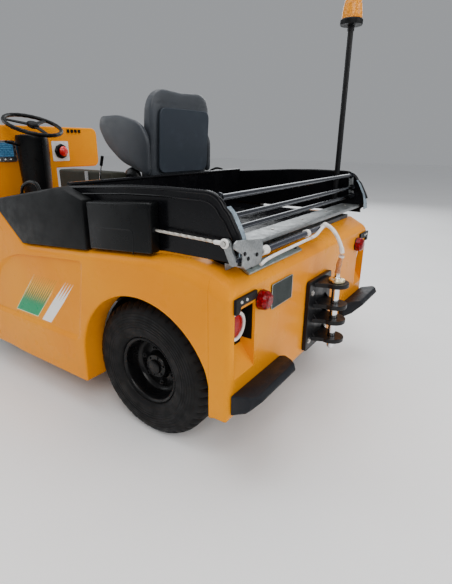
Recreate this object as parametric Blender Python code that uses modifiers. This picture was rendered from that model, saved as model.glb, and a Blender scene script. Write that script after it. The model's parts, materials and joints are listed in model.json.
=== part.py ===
"""Airport baggage tug: an open-cab, four-wheel tow tractor with a rear load tray.

Metres, +X forward, +Y to the driver's left, +Z up, ground at z = 0.  Every piece is placed
under the rear_face empty, so an x below is the distance ahead of the rear body panel.
"""

import math

import bmesh
import bpy
from mathutils import Matrix

# Driving dimensions
REAR_X = -1.519            # world x of the rear body panel
HALF_WIDTH = 0.795         # half of the overall body width
SKIN = 0.12                # thickness of the side bodies
GAP = 0.0004               # gap kept between pieces that touch

WHEEL_R = 0.335
RIM_R = 0.165
TYRE_WIDTH = 0.19
FRONT_WHEEL_Y = 0.621      # middle of each front tyre
REAR_WHEEL_Y = 0.645
REAR_AXLE_X = 0.505
REAR_ARCH_X = 0.474        # middle of the rear arch, a little behind the axle
FRONT_AXLE_X = 2.50
ARCH_R = 0.388
KINGPIN_Y = 0.56
STEER_ARM = (-0.14, -0.09)  # from the left kingpin to its tie rod eye, in x and y

REAR_BLOCK = 0.10          # depth of the rear body block
CREASE_Z = 0.85            # edge between the rear panel and the sloping deck
DECK_Z = 0.925             # load tray floor
DECK_STEP = 0.0012         # how far the floor's two landing strips lie below it
LEDGE_X = 0.160            # front face of the grey ledge's foot
SILL_Z = 0.186
FLOOR_Z = 0.53             # footwell floor
SEAT_DECK_Z = 0.885
HOUSING_X = 2.08           # back of the boxes over the front wheels
HOUSING_Y = 0.34           # half of the leg space between them
DASH_X = 2.32
DASH_FRONT_X = 2.42
NOSE_X = 3.12
BUMPER_X = 3.20

TRAY_Y = 0.715             # inner face of the tray's side walls
TRAY_WALL = 0.02
TRAY_FRONT_X = 0.935
PIN_X = -0.10
PIN_R = 0.019
SHAFT = (0.02, 0.945)      # release shaft axis, x and z
CRANK_EYE = (0.05, 1.008)  # cable eye on the shaft's crank arm, x and z
STEERING = (2.17, 0.10)    # foot of the steering column, x and y

COLOURS = {
    "body_orange": ((0.95, 0.42, 0.015), 0.32, 0.0),
    "black_plastic": ((0.018, 0.019, 0.021), 0.4, 0.0),
    "tray_black": ((0.012, 0.013, 0.015), 0.3, 0.2),
    "grey_steel": ((0.36, 0.39, 0.4), 0.45, 0.9),
    "frame_black": ((0.02, 0.02, 0.02), 0.6, 0.3),
    "chrome": ((0.75, 0.76, 0.78), 0.12, 1.0),
    "tyre_rubber": ((0.022, 0.022, 0.022), 0.85, 0.0),
    "rim_black": ((0.02, 0.02, 0.022), 0.4, 0.4),
    "lamp_red": ((0.6, 0.01, 0.015), 0.15, 0.0),
    "lamp_clear": ((0.8, 0.82, 0.85), 0.1, 0.0),
    "beacon_amber": ((0.95, 0.35, 0.02), 0.15, 0.0),
    "seat_black": ((0.02, 0.021, 0.023), 0.7, 0.0),
    "strap_orange": ((0.75, 0.25, 0.06), 0.35, 0.0),
    "cable_grey": ((0.55, 0.53, 0.5), 0.5, 0.5),
}


def clear_scene():
    for thing in list(bpy.data.objects):
        bpy.data.objects.remove(thing, do_unlink=True)


def new_collection(name):
    collection = bpy.data.collections.new(name)
    bpy.context.scene.collection.children.link(collection)
    return collection


clear_scene()
PARTS = new_collection("baggage_tug")
CUTTERS = new_collection("cutters")
DATUM = bpy.data.objects.new("rear_face", None)
DATUM.location = (REAR_X, 0.0, 0.0)
PARTS.objects.link(DATUM)


# ---------------------------------------------------------------- materials and modelling helpers

def material(slot):
    """The Principled material of one finish, made once."""
    found = bpy.data.materials.get(slot)
    if found:
        return found
    colour, roughness, metallic = COLOURS[slot]
    made = bpy.data.materials.new(slot)
    made.use_nodes = True
    shader = made.node_tree.nodes["Principled BSDF"]
    shader.inputs["Base Color"].default_value = (*colour, 1.0)
    shader.inputs["Roughness"].default_value = roughness
    shader.inputs["Metallic"].default_value = metallic
    made.diffuse_color = (*colour, 1.0)
    return made


def place(name, mesh, slot, location, rotation=(0.0, 0.0, 0.0)):
    """Make a named object under the datum; a piece with no finish is a cutter."""
    thing = bpy.data.objects.new(name, mesh)
    thing.parent = DATUM
    thing.location = location
    thing.rotation_euler = rotation
    if slot:
        mesh.materials.clear()
        mesh.materials.append(material(slot))
        PARTS.objects.link(thing)
    else:
        thing.hide_render = True
        thing.display_type = "WIRE"
        CUTTERS.objects.link(thing)
    return thing


def bevel(thing, width, segments=2, angle=40.0):
    """Round every edge sharper than the angle, in degrees."""
    modifier = thing.modifiers.new("edge", "BEVEL")
    modifier.width = width
    modifier.segments = segments
    modifier.limit_method = "ANGLE"
    modifier.angle_limit = math.radians(angle)
    modifier.use_clamp_overlap = True
    return thing


def combine(thing, other, operation="DIFFERENCE"):
    """Cut, join or intersect a piece with another one, which stays as a guide."""
    modifier = thing.modifiers.new(operation.lower(), "BOOLEAN")
    modifier.operation = operation
    modifier.object = other
    modifier.solver = "EXACT"
    return thing


def box(name, slot, low, high, edge=0.0, segments=2):
    """A block between two corners, with rounded edges if an edge width is given."""
    mesh = bpy.data.meshes.new(name)
    form = bmesh.new()
    bmesh.ops.create_cube(form, size=1.0)
    size = [top - bottom for bottom, top in zip(low, high)]
    bmesh.ops.scale(form, vec=size, verts=form.verts)
    form.to_mesh(mesh)
    form.free()
    middle = [(bottom + top) / 2 for bottom, top in zip(low, high)]
    thing = place(name, mesh, slot, middle)
    if edge:
        bevel(thing, edge, segments)
    return thing


def rod(name, slot, middle, radius, length, axis="Z", sides=24, far_radius=None):
    """A round bar or cone frustum with its middle at a point and its length along an axis."""
    mesh = bpy.data.meshes.new(name)
    form = bmesh.new()
    bmesh.ops.create_cone(
        form,
        cap_ends=True,
        segments=sides,
        radius1=radius,
        radius2=radius if far_radius is None else far_radius,
        depth=length,
    )
    form.to_mesh(mesh)
    form.free()
    turns = {"Z": (0.0, 0.0, 0.0), "Y": (-math.pi / 2, 0.0, 0.0), "X": (0.0, math.pi / 2, 0.0)}
    thing = place(name, mesh, slot, middle, turns[axis])
    mesh.shade_smooth()
    mesh.set_sharp_from_angle(angle=math.radians(40))
    return thing


def as_mesh(curve_object, name, slot):
    """Turn a curve into a welded mesh object in the same place."""
    bpy.context.view_layer.update()
    evaluated = curve_object.evaluated_get(bpy.context.evaluated_depsgraph_get())
    mesh = bpy.data.meshes.new_from_object(evaluated)
    form = bmesh.new()
    form.from_mesh(mesh)
    bmesh.ops.remove_doubles(form, verts=form.verts, dist=0.00005)
    form.to_mesh(mesh)
    form.free()
    place_matrix = curve_object.matrix_world.copy()
    curve = curve_object.data
    bpy.data.objects.remove(curve_object, do_unlink=True)
    bpy.data.curves.remove(curve)
    thing = place(name, mesh, slot, (0.0, 0.0, 0.0))
    mesh.name = name
    thing.matrix_local = DATUM.matrix_world.inverted() @ place_matrix
    return thing


PLANES = {
    "XY": (0.0, 0.0, 0.0),
    "XZ": (math.pi / 2, 0.0, 0.0),
    "YZ": (math.pi / 2, 0.0, math.pi / 2),
}


def plate(name, slot, plane, outlines, near, far, edge=0.0, segments=2):
    """Flat outlines, the first one solid and any others holes, made as thick as near to far."""
    curve = bpy.data.curves.new(name, "CURVE")
    curve.dimensions = "2D"
    curve.fill_mode = "BOTH"
    curve.extrude = (far - near) / 2
    for outline in outlines:
        spline = curve.splines.new("POLY")
        spline.points.add(len(outline) - 1)
        for point, (across, up) in zip(spline.points, outline):
            point.co = (across, up, 0.0, 1.0)
        spline.use_cyclic_u = True
    middle = (near + far) / 2
    location = {
        "XY": (0.0, 0.0, middle),
        "XZ": (0.0, middle, 0.0),
        "YZ": (middle, 0.0, 0.0),
    }[plane]
    guide = bpy.data.objects.new(name + "_outline", curve)
    CUTTERS.objects.link(guide)
    guide.parent = DATUM
    guide.location = location
    guide.rotation_euler = PLANES[plane]
    thing = as_mesh(guide, name, slot)
    if edge:
        bevel(thing, edge, segments)
    return thing


def tube(name, slot, points, radius, sides=12):
    """A round bar along a path, made as a mesh with closed ends."""
    curve = bpy.data.curves.new(name, "CURVE")
    curve.dimensions = "3D"
    curve.bevel_depth = radius
    curve.bevel_resolution = sides // 4 - 1
    curve.use_fill_caps = True
    spline = curve.splines.new("POLY")
    spline.points.add(len(points) - 1)
    for point, place_at in zip(spline.points, points):
        point.co = (*place_at, 1.0)
    guide = bpy.data.objects.new(name + "_path", curve)
    CUTTERS.objects.link(guide)
    guide.parent = DATUM
    return as_mesh(guide, name, slot)


def turned(name, slot, profile, location, rotation, steps=32, closed=True):
    """A profile of (radius, height) points spun about the local Z axis."""
    mesh = bpy.data.meshes.new(name)
    count = len(profile)
    edges = [(i, (i + 1) % count) for i in range(count if closed else count - 1)]
    mesh.from_pydata([(radius, 0.0, height) for radius, height in profile], edges, [])
    thing = place(name, mesh, slot, location, rotation)
    screw = thing.modifiers.new("turn", "SCREW")
    screw.axis = "Z"
    screw.angle = math.tau
    screw.steps = steps
    screw.render_steps = steps
    screw.use_merge_vertices = True
    screw.merge_threshold = 0.0001
    return thing


def arc(centre, radius, start, end, count):
    """Points along an arc; angles in degrees, from the first axis towards the second."""
    points = []
    for i in range(count + 1):
        turn = math.radians(start + (end - start) * i / count)
        points.append((centre[0] + radius * math.cos(turn), centre[1] + radius * math.sin(turn)))
    return points


SIDES = (("left", 1), ("right", -1))


def span(side, low, high):
    """A range of y on one side of the vehicle, in rising order."""
    return tuple(sorted((side * low, side * high)))


# ---------------------------------------------------------------- wheels, axles and steering

def wheel(name, axle_x, wheel_y, side):
    """A cushion tyre on a deep dished rim; both turn about the rim's middle."""
    half = TYRE_WIDTH / 2
    shoulder = 0.03
    tread = WHEEL_R
    tyre = [
        (tread, half - shoulder),
        (tread, -half + shoulder),
        (tread - 0.011, -half + 0.009),
        (tread - 0.035, -half),
        (RIM_R + 0.03, -half),
        (RIM_R, -half + 0.02),
        (RIM_R, half - 0.02),
        (RIM_R + 0.03, half),
        (tread - 0.035, half),
        (tread - 0.011, half - 0.009),
    ]
    outer = RIM_R - GAP
    rim = [
        (0.0, 0.035),
        (0.055, 0.035),
        (0.062, 0.0),
        (0.118, -0.012),
        (0.143, 0.005),
        (0.146, half - 0.018),
        (outer, half - 0.018),
        (outer, -half + 0.018),
        (0.15, -half + 0.018),
        (0.142, -0.022),
        (0.055, -0.022),
        (0.0, -0.022),
    ]
    centre = (axle_x, side * wheel_y, WHEEL_R)
    turn = (-side * math.pi / 2, 0.0, 0.0)
    turned(name + "_tyre", "tyre_rubber", tyre, centre, turn)
    turned(name + "_rim", "rim_black", rim, centre, turn, closed=False)


def rear_axle():
    axle = rod("rear_axle", "frame_black", (REAR_AXLE_X, 0.0, WHEEL_R), 0.055, 1.218, "Y", 16)
    drive = rod("drive_housing", None, (REAR_AXLE_X, 0.0, WHEEL_R), 0.125, 0.26, "Y", 20)
    combine(axle, drive, "UNION")


def front_axle():
    box(
        "front_axle",
        "frame_black",
        (FRONT_AXLE_X - 0.05, -0.524, 0.285),
        (FRONT_AXLE_X + 0.05, 0.524, 0.385),
        0.012,
        1,
    )


def knuckle(word, side):
    """Kingpin, stub axle and steering arm in one forging."""
    pivot = (FRONT_AXLE_X, side * KINGPIN_Y, 0.33)
    post = rod(word + "_knuckle", "frame_black", pivot, 0.03, 0.16, "Z", 16)
    eye_x = FRONT_AXLE_X + STEER_ARM[0]
    eye_y = side * (KINGPIN_Y + STEER_ARM[1])
    inner_y = side * (KINGPIN_Y - 0.065)
    arm_outline = [
        (FRONT_AXLE_X - 0.02, side * KINGPIN_Y),
        (FRONT_AXLE_X - 0.02, inner_y),
        (eye_x - 0.02, eye_y - side * 0.02),
        (eye_x - 0.02, eye_y + side * 0.01),
        (FRONT_AXLE_X - 0.045, side * (KINGPIN_Y - 0.045)),
        (FRONT_AXLE_X - 0.025, side * (KINGPIN_Y + 0.01)),
    ]
    arm = plate(word + "_arm", None, "XY", [arm_outline], 0.396, 0.409)
    combine(post, arm, "UNION")


def tie_rod():
    reach = KINGPIN_Y + STEER_ARM[1] + 0.012
    rod("tie_rod", "frame_black", (FRONT_AXLE_X + STEER_ARM[0], 0.0, 0.381), 0.01, 2 * reach, "Y", 12)


def steering():
    """Leaning column cover with the wheel on top."""
    x, y = STEERING
    rod("steering_column", "black_plastic", (x, y, 0.955), 0.085, 0.848, "Z", 20, 0.115)
    hub = (x - 0.04, y, 1.44)
    lean = math.radians(-22)
    rim = turned(
        "steering_wheel",
        "black_plastic",
        arc((0.185, 0.0), 0.014, 90, -210, 5),
        hub,
        (0.0, lean, 0.0),
        28,
    )
    boss = rod("wheel_boss", None, hub, 0.04, 0.035, "Z", 16)
    boss.rotation_euler = (0.0, lean, 0.0)
    combine(rim, boss, "UNION")
    for number in range(3):
        spoke = box("wheel_spoke_%d" % number, None, (0.0, -0.014, -0.005), (0.19, 0.014, 0.005))
        spoke_turn = Matrix.Translation(hub) @ Matrix.Rotation(lean, 4, "Y")
        spoke_turn = spoke_turn @ Matrix.Rotation(math.radians(60 + 120 * number), 4, "Z")
        spoke.matrix_local = spoke_turn @ Matrix.Translation((0.095, 0.0, 0.0))
        combine(rim, spoke, "UNION")


# ---------------------------------------------------------------- frame, bodywork and cab

def chassis_frame():
    """Ladder frame with closed cross members above both axles."""
    rails = [(0.14, -0.30), (3.03, -0.30), (3.03, 0.30), (0.14, 0.30)]
    bays = ((0.30, 0.95), (1.05, 1.75), (1.85, 2.30), (2.40, 2.95))
    holes = [
        [(near, -0.15), (near, 0.15), (far, 0.15), (far, -0.15)] for near, far in bays
    ]
    plate("chassis_frame", "frame_black", "XY", [rails] + holes, 0.40, 0.50)


def battery_block():
    box("battery_block", "frame_black", (0.98, -0.45, 0.5004), (1.48, 0.45, 0.84), 0.01, 1)


def arch(centre_x, start, end, count=18):
    return arc((centre_x, WHEEL_R), ARCH_R, start, end, count)


def side_body(word, side):
    """Side panel with the rear wheel arch, the sloping front edge and a shallow recess."""
    rear = REAR_BLOCK + GAP
    centre = REAR_ARCH_X
    rise = math.degrees(math.acos((centre - rear) / ARCH_R))
    outline = arch(centre, 180 - rise, 0)
    outline += [
        (centre + ARCH_R, SILL_Z),
        (1.78, SILL_Z),
        (1.80, 0.21),
        (1.80, 0.42),
        (1.515, 1.045),
        (1.497, 1.038),
        (1.269, 0.848),
        (0.76, 0.885),
        (0.33, 0.920),
        (rear, 0.925),
    ]
    near, far = span(side, HALF_WIDTH - SKIN, HALF_WIDTH)
    body = plate(word + "_side_body", "body_orange", "XZ", [outline], near, far)
    recess = [(0.81, 0.40), (1.71, 0.40), (1.56, 0.72), (1.36, 0.80), (0.81, 0.848)]
    near, far = span(side, HALF_WIDTH - 0.012, HALF_WIDTH + 0.05)
    combine(body, plate(word + "_recess", None, "XZ", [recess], near, far))


def rear_body():
    """Rear block with a sloping deck edge and two tall lamp recesses."""
    outline = [
        (0.0, 0.336),
        (0.023, 0.295),
        (REAR_BLOCK, 0.295),
        (REAR_BLOCK, 0.902),
        (0.0, CREASE_Z),
    ]
    body = plate("rear_body", "body_orange", "XZ", [outline], -HALF_WIDTH, HALF_WIDTH, 0.02, 3)
    niche = [(-0.05, 0.47), (0.0, 0.48), (0.065, 0.57), (0.065, 0.765), (-0.05, 0.765)]
    for word, side in SIDES:
        near, far = span(side, 0.622, 0.768)
        combine(body, plate(word + "_niche", None, "XZ", [niche], near, far))


def rear_deck():
    """Tray floor with a lower strip under the ledge and another under the front wall."""
    strip = DECK_Z - DECK_STEP
    outline = [
        (REAR_BLOCK + GAP, 0.89),
        (0.955, 0.89),
        (0.955, strip),
        (TRAY_FRONT_X - GAP, strip),
        (TRAY_FRONT_X - GAP, DECK_Z),
        (LEDGE_X + GAP, DECK_Z),
        (LEDGE_X + GAP, strip),
        (REAR_BLOCK + GAP, strip),
    ]
    plate("rear_deck", "tray_black", "XZ", [outline], -0.674, 0.674)


def floor_plate():
    """Footwell floor, narrower between the front wheels, with a step down on each side."""
    half_floor = 0.56
    wide = 0.66
    outline = [
        (1.535, -wide),
        (HOUSING_X, -wide),
        (HOUSING_X, -HOUSING_Y),
        (DASH_FRONT_X, -HOUSING_Y),
        (DASH_FRONT_X, HOUSING_Y),
        (HOUSING_X, HOUSING_Y),
        (HOUSING_X, wide),
        (1.535, wide),
    ]
    floor = plate("floor_plate", "frame_black", "XY", [outline], 0.5 + GAP, FLOOR_Z)
    for word, side in SIDES:
        step = [
            (side * half_floor, 0.51),
            (side * half_floor, 0.28),
            (side * 0.785, 0.28),
            (side * 0.785, 0.31),
            (side * (half_floor + 0.03), 0.31),
            (side * (half_floor + 0.03), 0.51),
        ]
        combine(floor, plate(word + "_step", None, "YZ", [step], 1.81, HOUSING_X - 0.01), "UNION")


def cowl():
    """Firewall with a box over the back of each front wheel."""
    top = 0.93
    wheel_top = 0.74
    wide = HALF_WIDTH - SKIN - GAP
    firewall = [
        (-HOUSING_Y, FLOOR_Z - 0.025),
        (HOUSING_Y, FLOOR_Z - 0.025),
        (HOUSING_Y, wheel_top),
        (wide, wheel_top + 0.03),
        (wide, top),
        (-wide, top),
        (-wide, wheel_top + 0.03),
        (-HOUSING_Y, wheel_top),
    ]
    body = plate("cowl", "body_orange", "YZ", [firewall], DASH_FRONT_X + 0.003, DASH_FRONT_X + 0.018)
    sheet = 0.012
    rear = HOUSING_X + 0.004
    front = DASH_FRONT_X + 0.01
    foot = FLOOR_Z + GAP
    roof = top - 0.003
    inner = HOUSING_Y + 0.006
    for word, side in SIDES:
        near, far = span(side, inner, wide - 0.003)
        roof_panel = box(word + "_housing_top", None, (rear, near, roof - sheet), (front, far, roof))
        combine(body, roof_panel, "UNION")
        near, far = span(side, inner + 0.001, wide - 0.004)
        back_panel = box(
            word + "_housing_back", None, (rear + 0.001, near, foot), (rear + sheet, far, roof - 0.002)
        )
        combine(body, back_panel, "UNION")
        near, far = span(side, inner + 0.002, inner + sheet)
        side_panel = box(
            word + "_housing_side", None, (rear + 0.002, near, foot + 0.001), (front, far, roof - 0.003)
        )
        combine(body, side_panel, "UNION")


def battery_cover():
    """Seat platform with its front riser."""
    outline = [
        (0.957, 0.855),
        (1.50, 0.855),
        (1.50, FLOOR_Z + GAP),
        (1.532, FLOOR_Z + GAP),
        (1.532, SEAT_DECK_Z),
        (0.957, SEAT_DECK_Z),
    ]
    plate("battery_cover", "black_plastic", "XZ", [outline], -0.674, 0.674)


def front_body():
    """Front fenders and nose in one moulding, open underneath."""
    outline = arch(FRONT_AXLE_X, 180, 0)
    outline += [
        (FRONT_AXLE_X + ARCH_R, 0.25),
        (NOSE_X, 0.28),
        (NOSE_X, 0.84),
        (NOSE_X - 0.04, 0.90),
        (2.40, 0.96),
        (2.13, 0.96),
        (2.08, 0.90),
        (2.08, SILL_Z + 0.02),
        (FRONT_AXLE_X - ARCH_R, SILL_Z + 0.02),
    ]
    near, far = span(1, HALF_WIDTH - SKIN, HALF_WIDTH)
    body = plate("front_body", "body_orange", "XZ", [outline], near, far)
    near, far = span(-1, HALF_WIDTH - SKIN, HALF_WIDTH)
    combine(body, plate("right_fender", None, "XZ", [outline], near, far), "UNION")
    nose = [
        (NOSE_X - 0.08, 0.30),
        (NOSE_X - 0.002, 0.30),
        (NOSE_X - 0.002, 0.838),
        (NOSE_X - 0.04, 0.895),
        (NOSE_X - 0.08, 0.895),
    ]
    combine(body, plate("nose", None, "XZ", [nose], -0.70, 0.70), "UNION")


def bonnet():
    """Flat lid between the fenders, hinged along its rear edge."""
    outline = [
        (2.445, 0.925),
        (NOSE_X - 0.085, 0.872),
        (NOSE_X - 0.085, 0.897),
        (2.445, 0.952),
    ]
    plate("bonnet", "body_orange", "XZ", [outline], -0.669, 0.669)


def dashboard():
    """Wide upper panel on a narrower pedestal."""
    foot_low = STEERING[1] - 0.28
    foot_high = STEERING[1] + 0.24
    radius = 0.05
    low, high, wide = 1.135, 1.44, 0.60
    outline = [(foot_high, low), (foot_high, FLOOR_Z + GAP), (foot_low, FLOOR_Z + GAP), (foot_low, low)]
    outline += arc((-wide + radius, low + radius), radius, 270, 180, 4)
    outline += arc((-wide + radius, high - radius), radius, 180, 90, 4)
    outline += arc((wide - radius, high - radius), radius, 90, 0, 4)
    outline += arc((wide - radius, low + radius), radius, 0, -90, 4)
    plate("dashboard", "body_orange", "YZ", [outline], DASH_X, DASH_FRONT_X)


def front_bumper():
    plan = [
        (NOSE_X + GAP, -0.78),
        (NOSE_X + 0.05, -0.78),
        (BUMPER_X, -0.68),
        (BUMPER_X, 0.68),
        (NOSE_X + 0.05, 0.78),
        (NOSE_X + GAP, 0.78),
    ]
    plate("front_bumper", "black_plastic", "XY", [plan], 0.30, 0.44, 0.012, 1)


def headlamp(word, side):
    rod(word + "_headlamp", "lamp_clear", (NOSE_X + 0.016, side * 0.58, 0.66), 0.07, 0.03, "X", 24)


def seat():
    """Suspension seat to the right of the middle."""
    middle = -0.11
    box(
        "seat_cushion",
        "seat_black",
        (1.0, middle - 0.25, SEAT_DECK_Z + GAP),
        (1.52, middle + 0.25, 1.045),
        0.03,
        2,
    )
    side_view = [(0.965, 1.049), (1.085, 1.049), (1.10, 1.12), (1.02, 1.62), (0.93, 1.62), (0.962, 1.18)]
    plate("seat_backrest", "seat_black", "XZ", [side_view], middle - 0.27, middle + 0.27, 0.025, 2)


def side_console():
    outline = [
        (1.12, SEAT_DECK_Z + GAP),
        (1.50, SEAT_DECK_Z + GAP),
        (1.60, 1.04),
        (1.60, 1.165),
        (1.59, 1.175),
        (1.13, 1.175),
        (1.12, 1.165),
    ]
    plate("side_console", "black_plastic", "XZ", [outline], 0.20, 0.31, 0.006, 1)


def guard(word, side):
    """Six-sided black side moulding beside the seat."""
    step = 0.0006
    outline = [
        (0.766, 0.8858),
        (1.2688, 0.848 + step),
        (1.496, 1.0382 + step),
        (1.49, 1.052),
        (0.93, 1.147),
        (0.905, 1.147),
        (0.766, 1.105),
    ]
    near, far = span(side, TRAY_Y + TRAY_WALL + GAP, HALF_WIDTH)
    plate(word + "_guard", "black_plastic", "XZ", [outline], near, far, 0.012, 2)


def release_box():
    """Housing of the hand release on the left tray wall."""
    outline = [(0.375, 0.926), (0.745, 0.896), (0.745, 1.100), (0.375, 1.124)]
    near, far = span(1, TRAY_Y + TRAY_WALL + GAP, HALF_WIDTH - 0.003)
    plate("release_box", "black_plastic", "XZ", [outline], near, far, 0.01, 2)


# ---------------------------------------------------------------- load tray

def tray_wall(word, side):
    """Side wall with a rounded rear top corner and a sloping rear edge."""
    x, z = SHAFT
    outline = arc((x, z), 0.021, -30, 75, 4)
    outline += [
        (0.006, 0.990),
        (0.018, 1.036),
        (0.058, 1.107),
    ]
    outline += arc((0.155, 1.085), 0.090, 155, 92, 5)
    outline += [(0.35, 1.176), (0.54, 1.170), (0.955, 1.140), (0.955, 0.9275)]
    near, far = span(side, TRAY_Y, TRAY_Y + TRAY_WALL)
    plate("tray_%s_wall" % word, "tray_black", "XZ", [outline], near, far)


def tray_front_wall():
    box(
        "tray_front_wall",
        "tray_black",
        (TRAY_FRONT_X, -TRAY_Y + GAP, DECK_Z - DECK_STEP + GAP),
        (TRAY_FRONT_X + 0.02, TRAY_Y - GAP, 1.155),
    )


def rear_rails():
    """Three round bars across the open rear of the tray, held by end straps."""
    bars = ((0.115, 1.155), (0.10, 1.083), (0.10, 1.034))
    reach = TRAY_Y - 0.001
    rails = None
    for number, (x, z) in enumerate(bars):
        slot = "chrome" if number == 0 else None
        bar = rod("rear_rails" if slot else "bar_%d" % number, slot, (x, 0.0, z), 0.011, 2 * reach, "Y", 12)
        if rails is None:
            rails = bar
        else:
            combine(rails, bar, "UNION")
    strap = [(0.085, 1.02), (0.115, 1.02), (0.128, 1.15), (0.102, 1.15)]
    for word, side in SIDES:
        near, far = span(side, reach - 0.008, reach - 0.002)
        combine(rails, plate(word + "_strap", None, "XZ", [strap], near, far), "UNION")


def rear_ledge():
    """Grey folded sheet along the rear edge of the tray."""
    foot = DECK_Z - DECK_STEP + GAP
    outline = [
        (0.048, 0.971),
        (LEDGE_X - 0.01, 0.971),
        (LEDGE_X - 0.01, foot),
        (LEDGE_X, foot),
        (LEDGE_X, 0.981),
        (0.048, 0.981),
    ]
    plate("rear_ledge", "grey_steel", "XZ", [outline], -TRAY_Y + 0.002, TRAY_Y - 0.002)


# ---------------------------------------------------------------- tow hitch and its release

JAW_LEVELS = (0.395, 0.495, 0.575, 0.685)
JAW_HALF = 0.011


def tow_hitch():
    """Back plate with four tongues, all drilled for the pin."""
    plate_back = box("tow_hitch", "frame_black", (-0.022, -0.14, 0.34), (-GAP, 0.14, 0.712))
    tongue = [(-0.012, -0.085), (-0.012, 0.085)]
    tongue += arc((PIN_X, 0.0), 0.062, 70, 290, 10)
    for number, level in enumerate(JAW_LEVELS):
        jaw = plate("jaw_%d" % number, None, "XY", [tongue], level - JAW_HALF, level + JAW_HALF)
        combine(plate_back, jaw, "UNION")
    hole = rod("pin_hole", None, (PIN_X, 0.0, 0.54), PIN_R + 0.002, 0.5, "Z", 20)
    combine(plate_back, hole)


def tow_pin():
    """Plain pin with a collar that rests on the top tongue."""
    top = JAW_LEVELS[-1] + JAW_HALF
    profile = [
        (0.0, top + 0.045),
        (0.012, top + 0.045),
        (0.012, top + 0.02),
        (0.032, top + 0.015),
        (0.032, top + GAP),
        (PIN_R, top + GAP),
        (PIN_R, 0.345),
        (PIN_R - 0.006, 0.335),
        (0.0, 0.335),
    ]
    turned("tow_pin", "chrome", profile, (PIN_X, 0.0, 0.0), (0.0, 0.0, 0.0), 20, False)
    tube(
        "lift_strap",
        "strap_orange",
        [(PIN_X, 0.0, top + 0.046), (PIN_X - 0.003, 0.0, 0.785), (-0.112, 0.0, 0.833)],
        0.013,
    )


def release_linkage():
    """Cross shaft with its crank arm, its bracket, and the bent arm above the pin."""
    x, z = SHAFT
    left_end = 0.758
    right_end = -0.03
    shaft = rod(
        "release_shaft",
        "grey_steel",
        (x, (left_end + right_end) / 2, z),
        0.014,
        left_end - right_end,
        "Y",
        16,
    )
    eye = CRANK_EYE
    crank = [(x - 0.016, z - 0.012), (x + 0.012, z - 0.018), (eye[0] + 0.016, eye[1])]
    crank += [(eye[0] + 0.006, eye[1] + 0.015), (eye[0] - 0.012, eye[1] + 0.01)]
    combine(shaft, plate("crank", None, "XZ", [crank], 0.743, 0.755), "UNION")
    path = [
        (x - 0.018, 0.0, z + 0.012),
        (-0.014, 0.0, 0.971),
        (-0.040, 0.0, 0.962),
        (-0.062, 0.0, 0.944),
        (-0.082, 0.0, 0.918),
        (-0.097, 0.0, 0.891),
        (-0.107, 0.0, 0.866),
        (-0.112, 0.0, 0.843),
    ]
    tube("lift_arm", "grey_steel", path, 0.010)


def shaft_bracket():
    """Upright plate behind the left end of the shaft, on a foot that steps down to the deck edge."""
    upright = [
        (0.597, 0.950),
        (0.597, 0.985),
        (0.615, 1.008),
        (0.772, 1.030),
        (0.789, 1.022),
        (0.789, 1.004),
        (0.735, 0.972),
        (0.735, 0.930),
        (0.715, 0.915),
        (0.615, 0.915),
        (0.605, 0.930),
    ]
    bracket = plate("shaft_bracket", "grey_steel", "YZ", [upright], -0.009, -0.003)
    slope = (0.902 - CREASE_Z) / REAR_BLOCK
    heel, toe = 0.080, 0.086
    low, high = 0.916, 0.922
    lift = 0.003
    foot = [
        (-0.006, high),
        (-0.006, low),
        (heel, low),
        (heel, CREASE_Z + heel * slope + lift),
        (toe, CREASE_Z + toe * slope + lift),
        (toe, high),
    ]
    combine(bracket, plate("bracket_foot", None, "XZ", [foot], 0.625, 0.71), "UNION")


def release_cable():
    """Taut wire from the release box to the crank arm's eye."""
    path = [(0.372, 0.769, 1.02), (CRANK_EYE[0] - 0.004, 0.765, CRANK_EYE[1] + 0.002)]
    tube("release_cable", "cable_grey", path, 0.006, 8)


def guide_bar():
    """Flat bar bolted to the sloping deck edge."""
    slope = math.atan2(0.902 - CREASE_Z, REAR_BLOCK)
    bar = box("guide_bar", "grey_steel", (-0.022, 0.165, -0.006), (0.022, 0.635, 0.006), 0.002, 1)
    x = 0.043
    height = CREASE_Z + x * math.tan(slope) + 0.0075 / math.cos(slope)
    bar.location = (x, 0.40, height)
    bar.rotation_euler = (0.0, -slope, 0.0)


# ---------------------------------------------------------------- bumpers, lamps and mast

def rear_bumper(word, side):
    """Wedge-shaped corner bumper, its section swept across and its plan chamfered."""
    section = [
        (-GAP, 0.338),
        (-GAP, 0.428),
        (-0.075, 0.452),
        (-0.105, 0.452),
        (-0.122, 0.43),
        (-0.068, 0.374),
    ]
    near, far = span(side, 0.385, 0.790)
    bumper = plate(word + "_rear_bumper", "black_plastic", "XZ", [section], near, far)
    plan = [
        (0.01, side * 0.38),
        (-0.025, side * 0.38),
        (-0.125, side * 0.47),
        (-0.125, side * 0.745),
        (-0.085, side * 0.795),
        (0.01, side * 0.795),
    ]
    combine(bumper, plate(word + "_bumper_plan", None, "XY", [plan], 0.30, 0.50), "INTERSECT")


def tail_lamps(word, side):
    """Round lamp in the recess, and the marker strip with its round lamp."""
    rod(word + "_tail_lamp", "lamp_red", (0.049, side * 0.695, 0.675), 0.062, 0.03, "X", 24)
    near, far = span(side, 0.606, 0.778)
    marker = box(word + "_marker_lamp", "lamp_red", (-0.012, near, 0.774), (-GAP, far, 0.817))
    dome = rod(word + "_dome", None, (-0.018, side * 0.575, 0.762), 0.042, 0.035, "X", 20)
    combine(marker, dome, "UNION")


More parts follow.
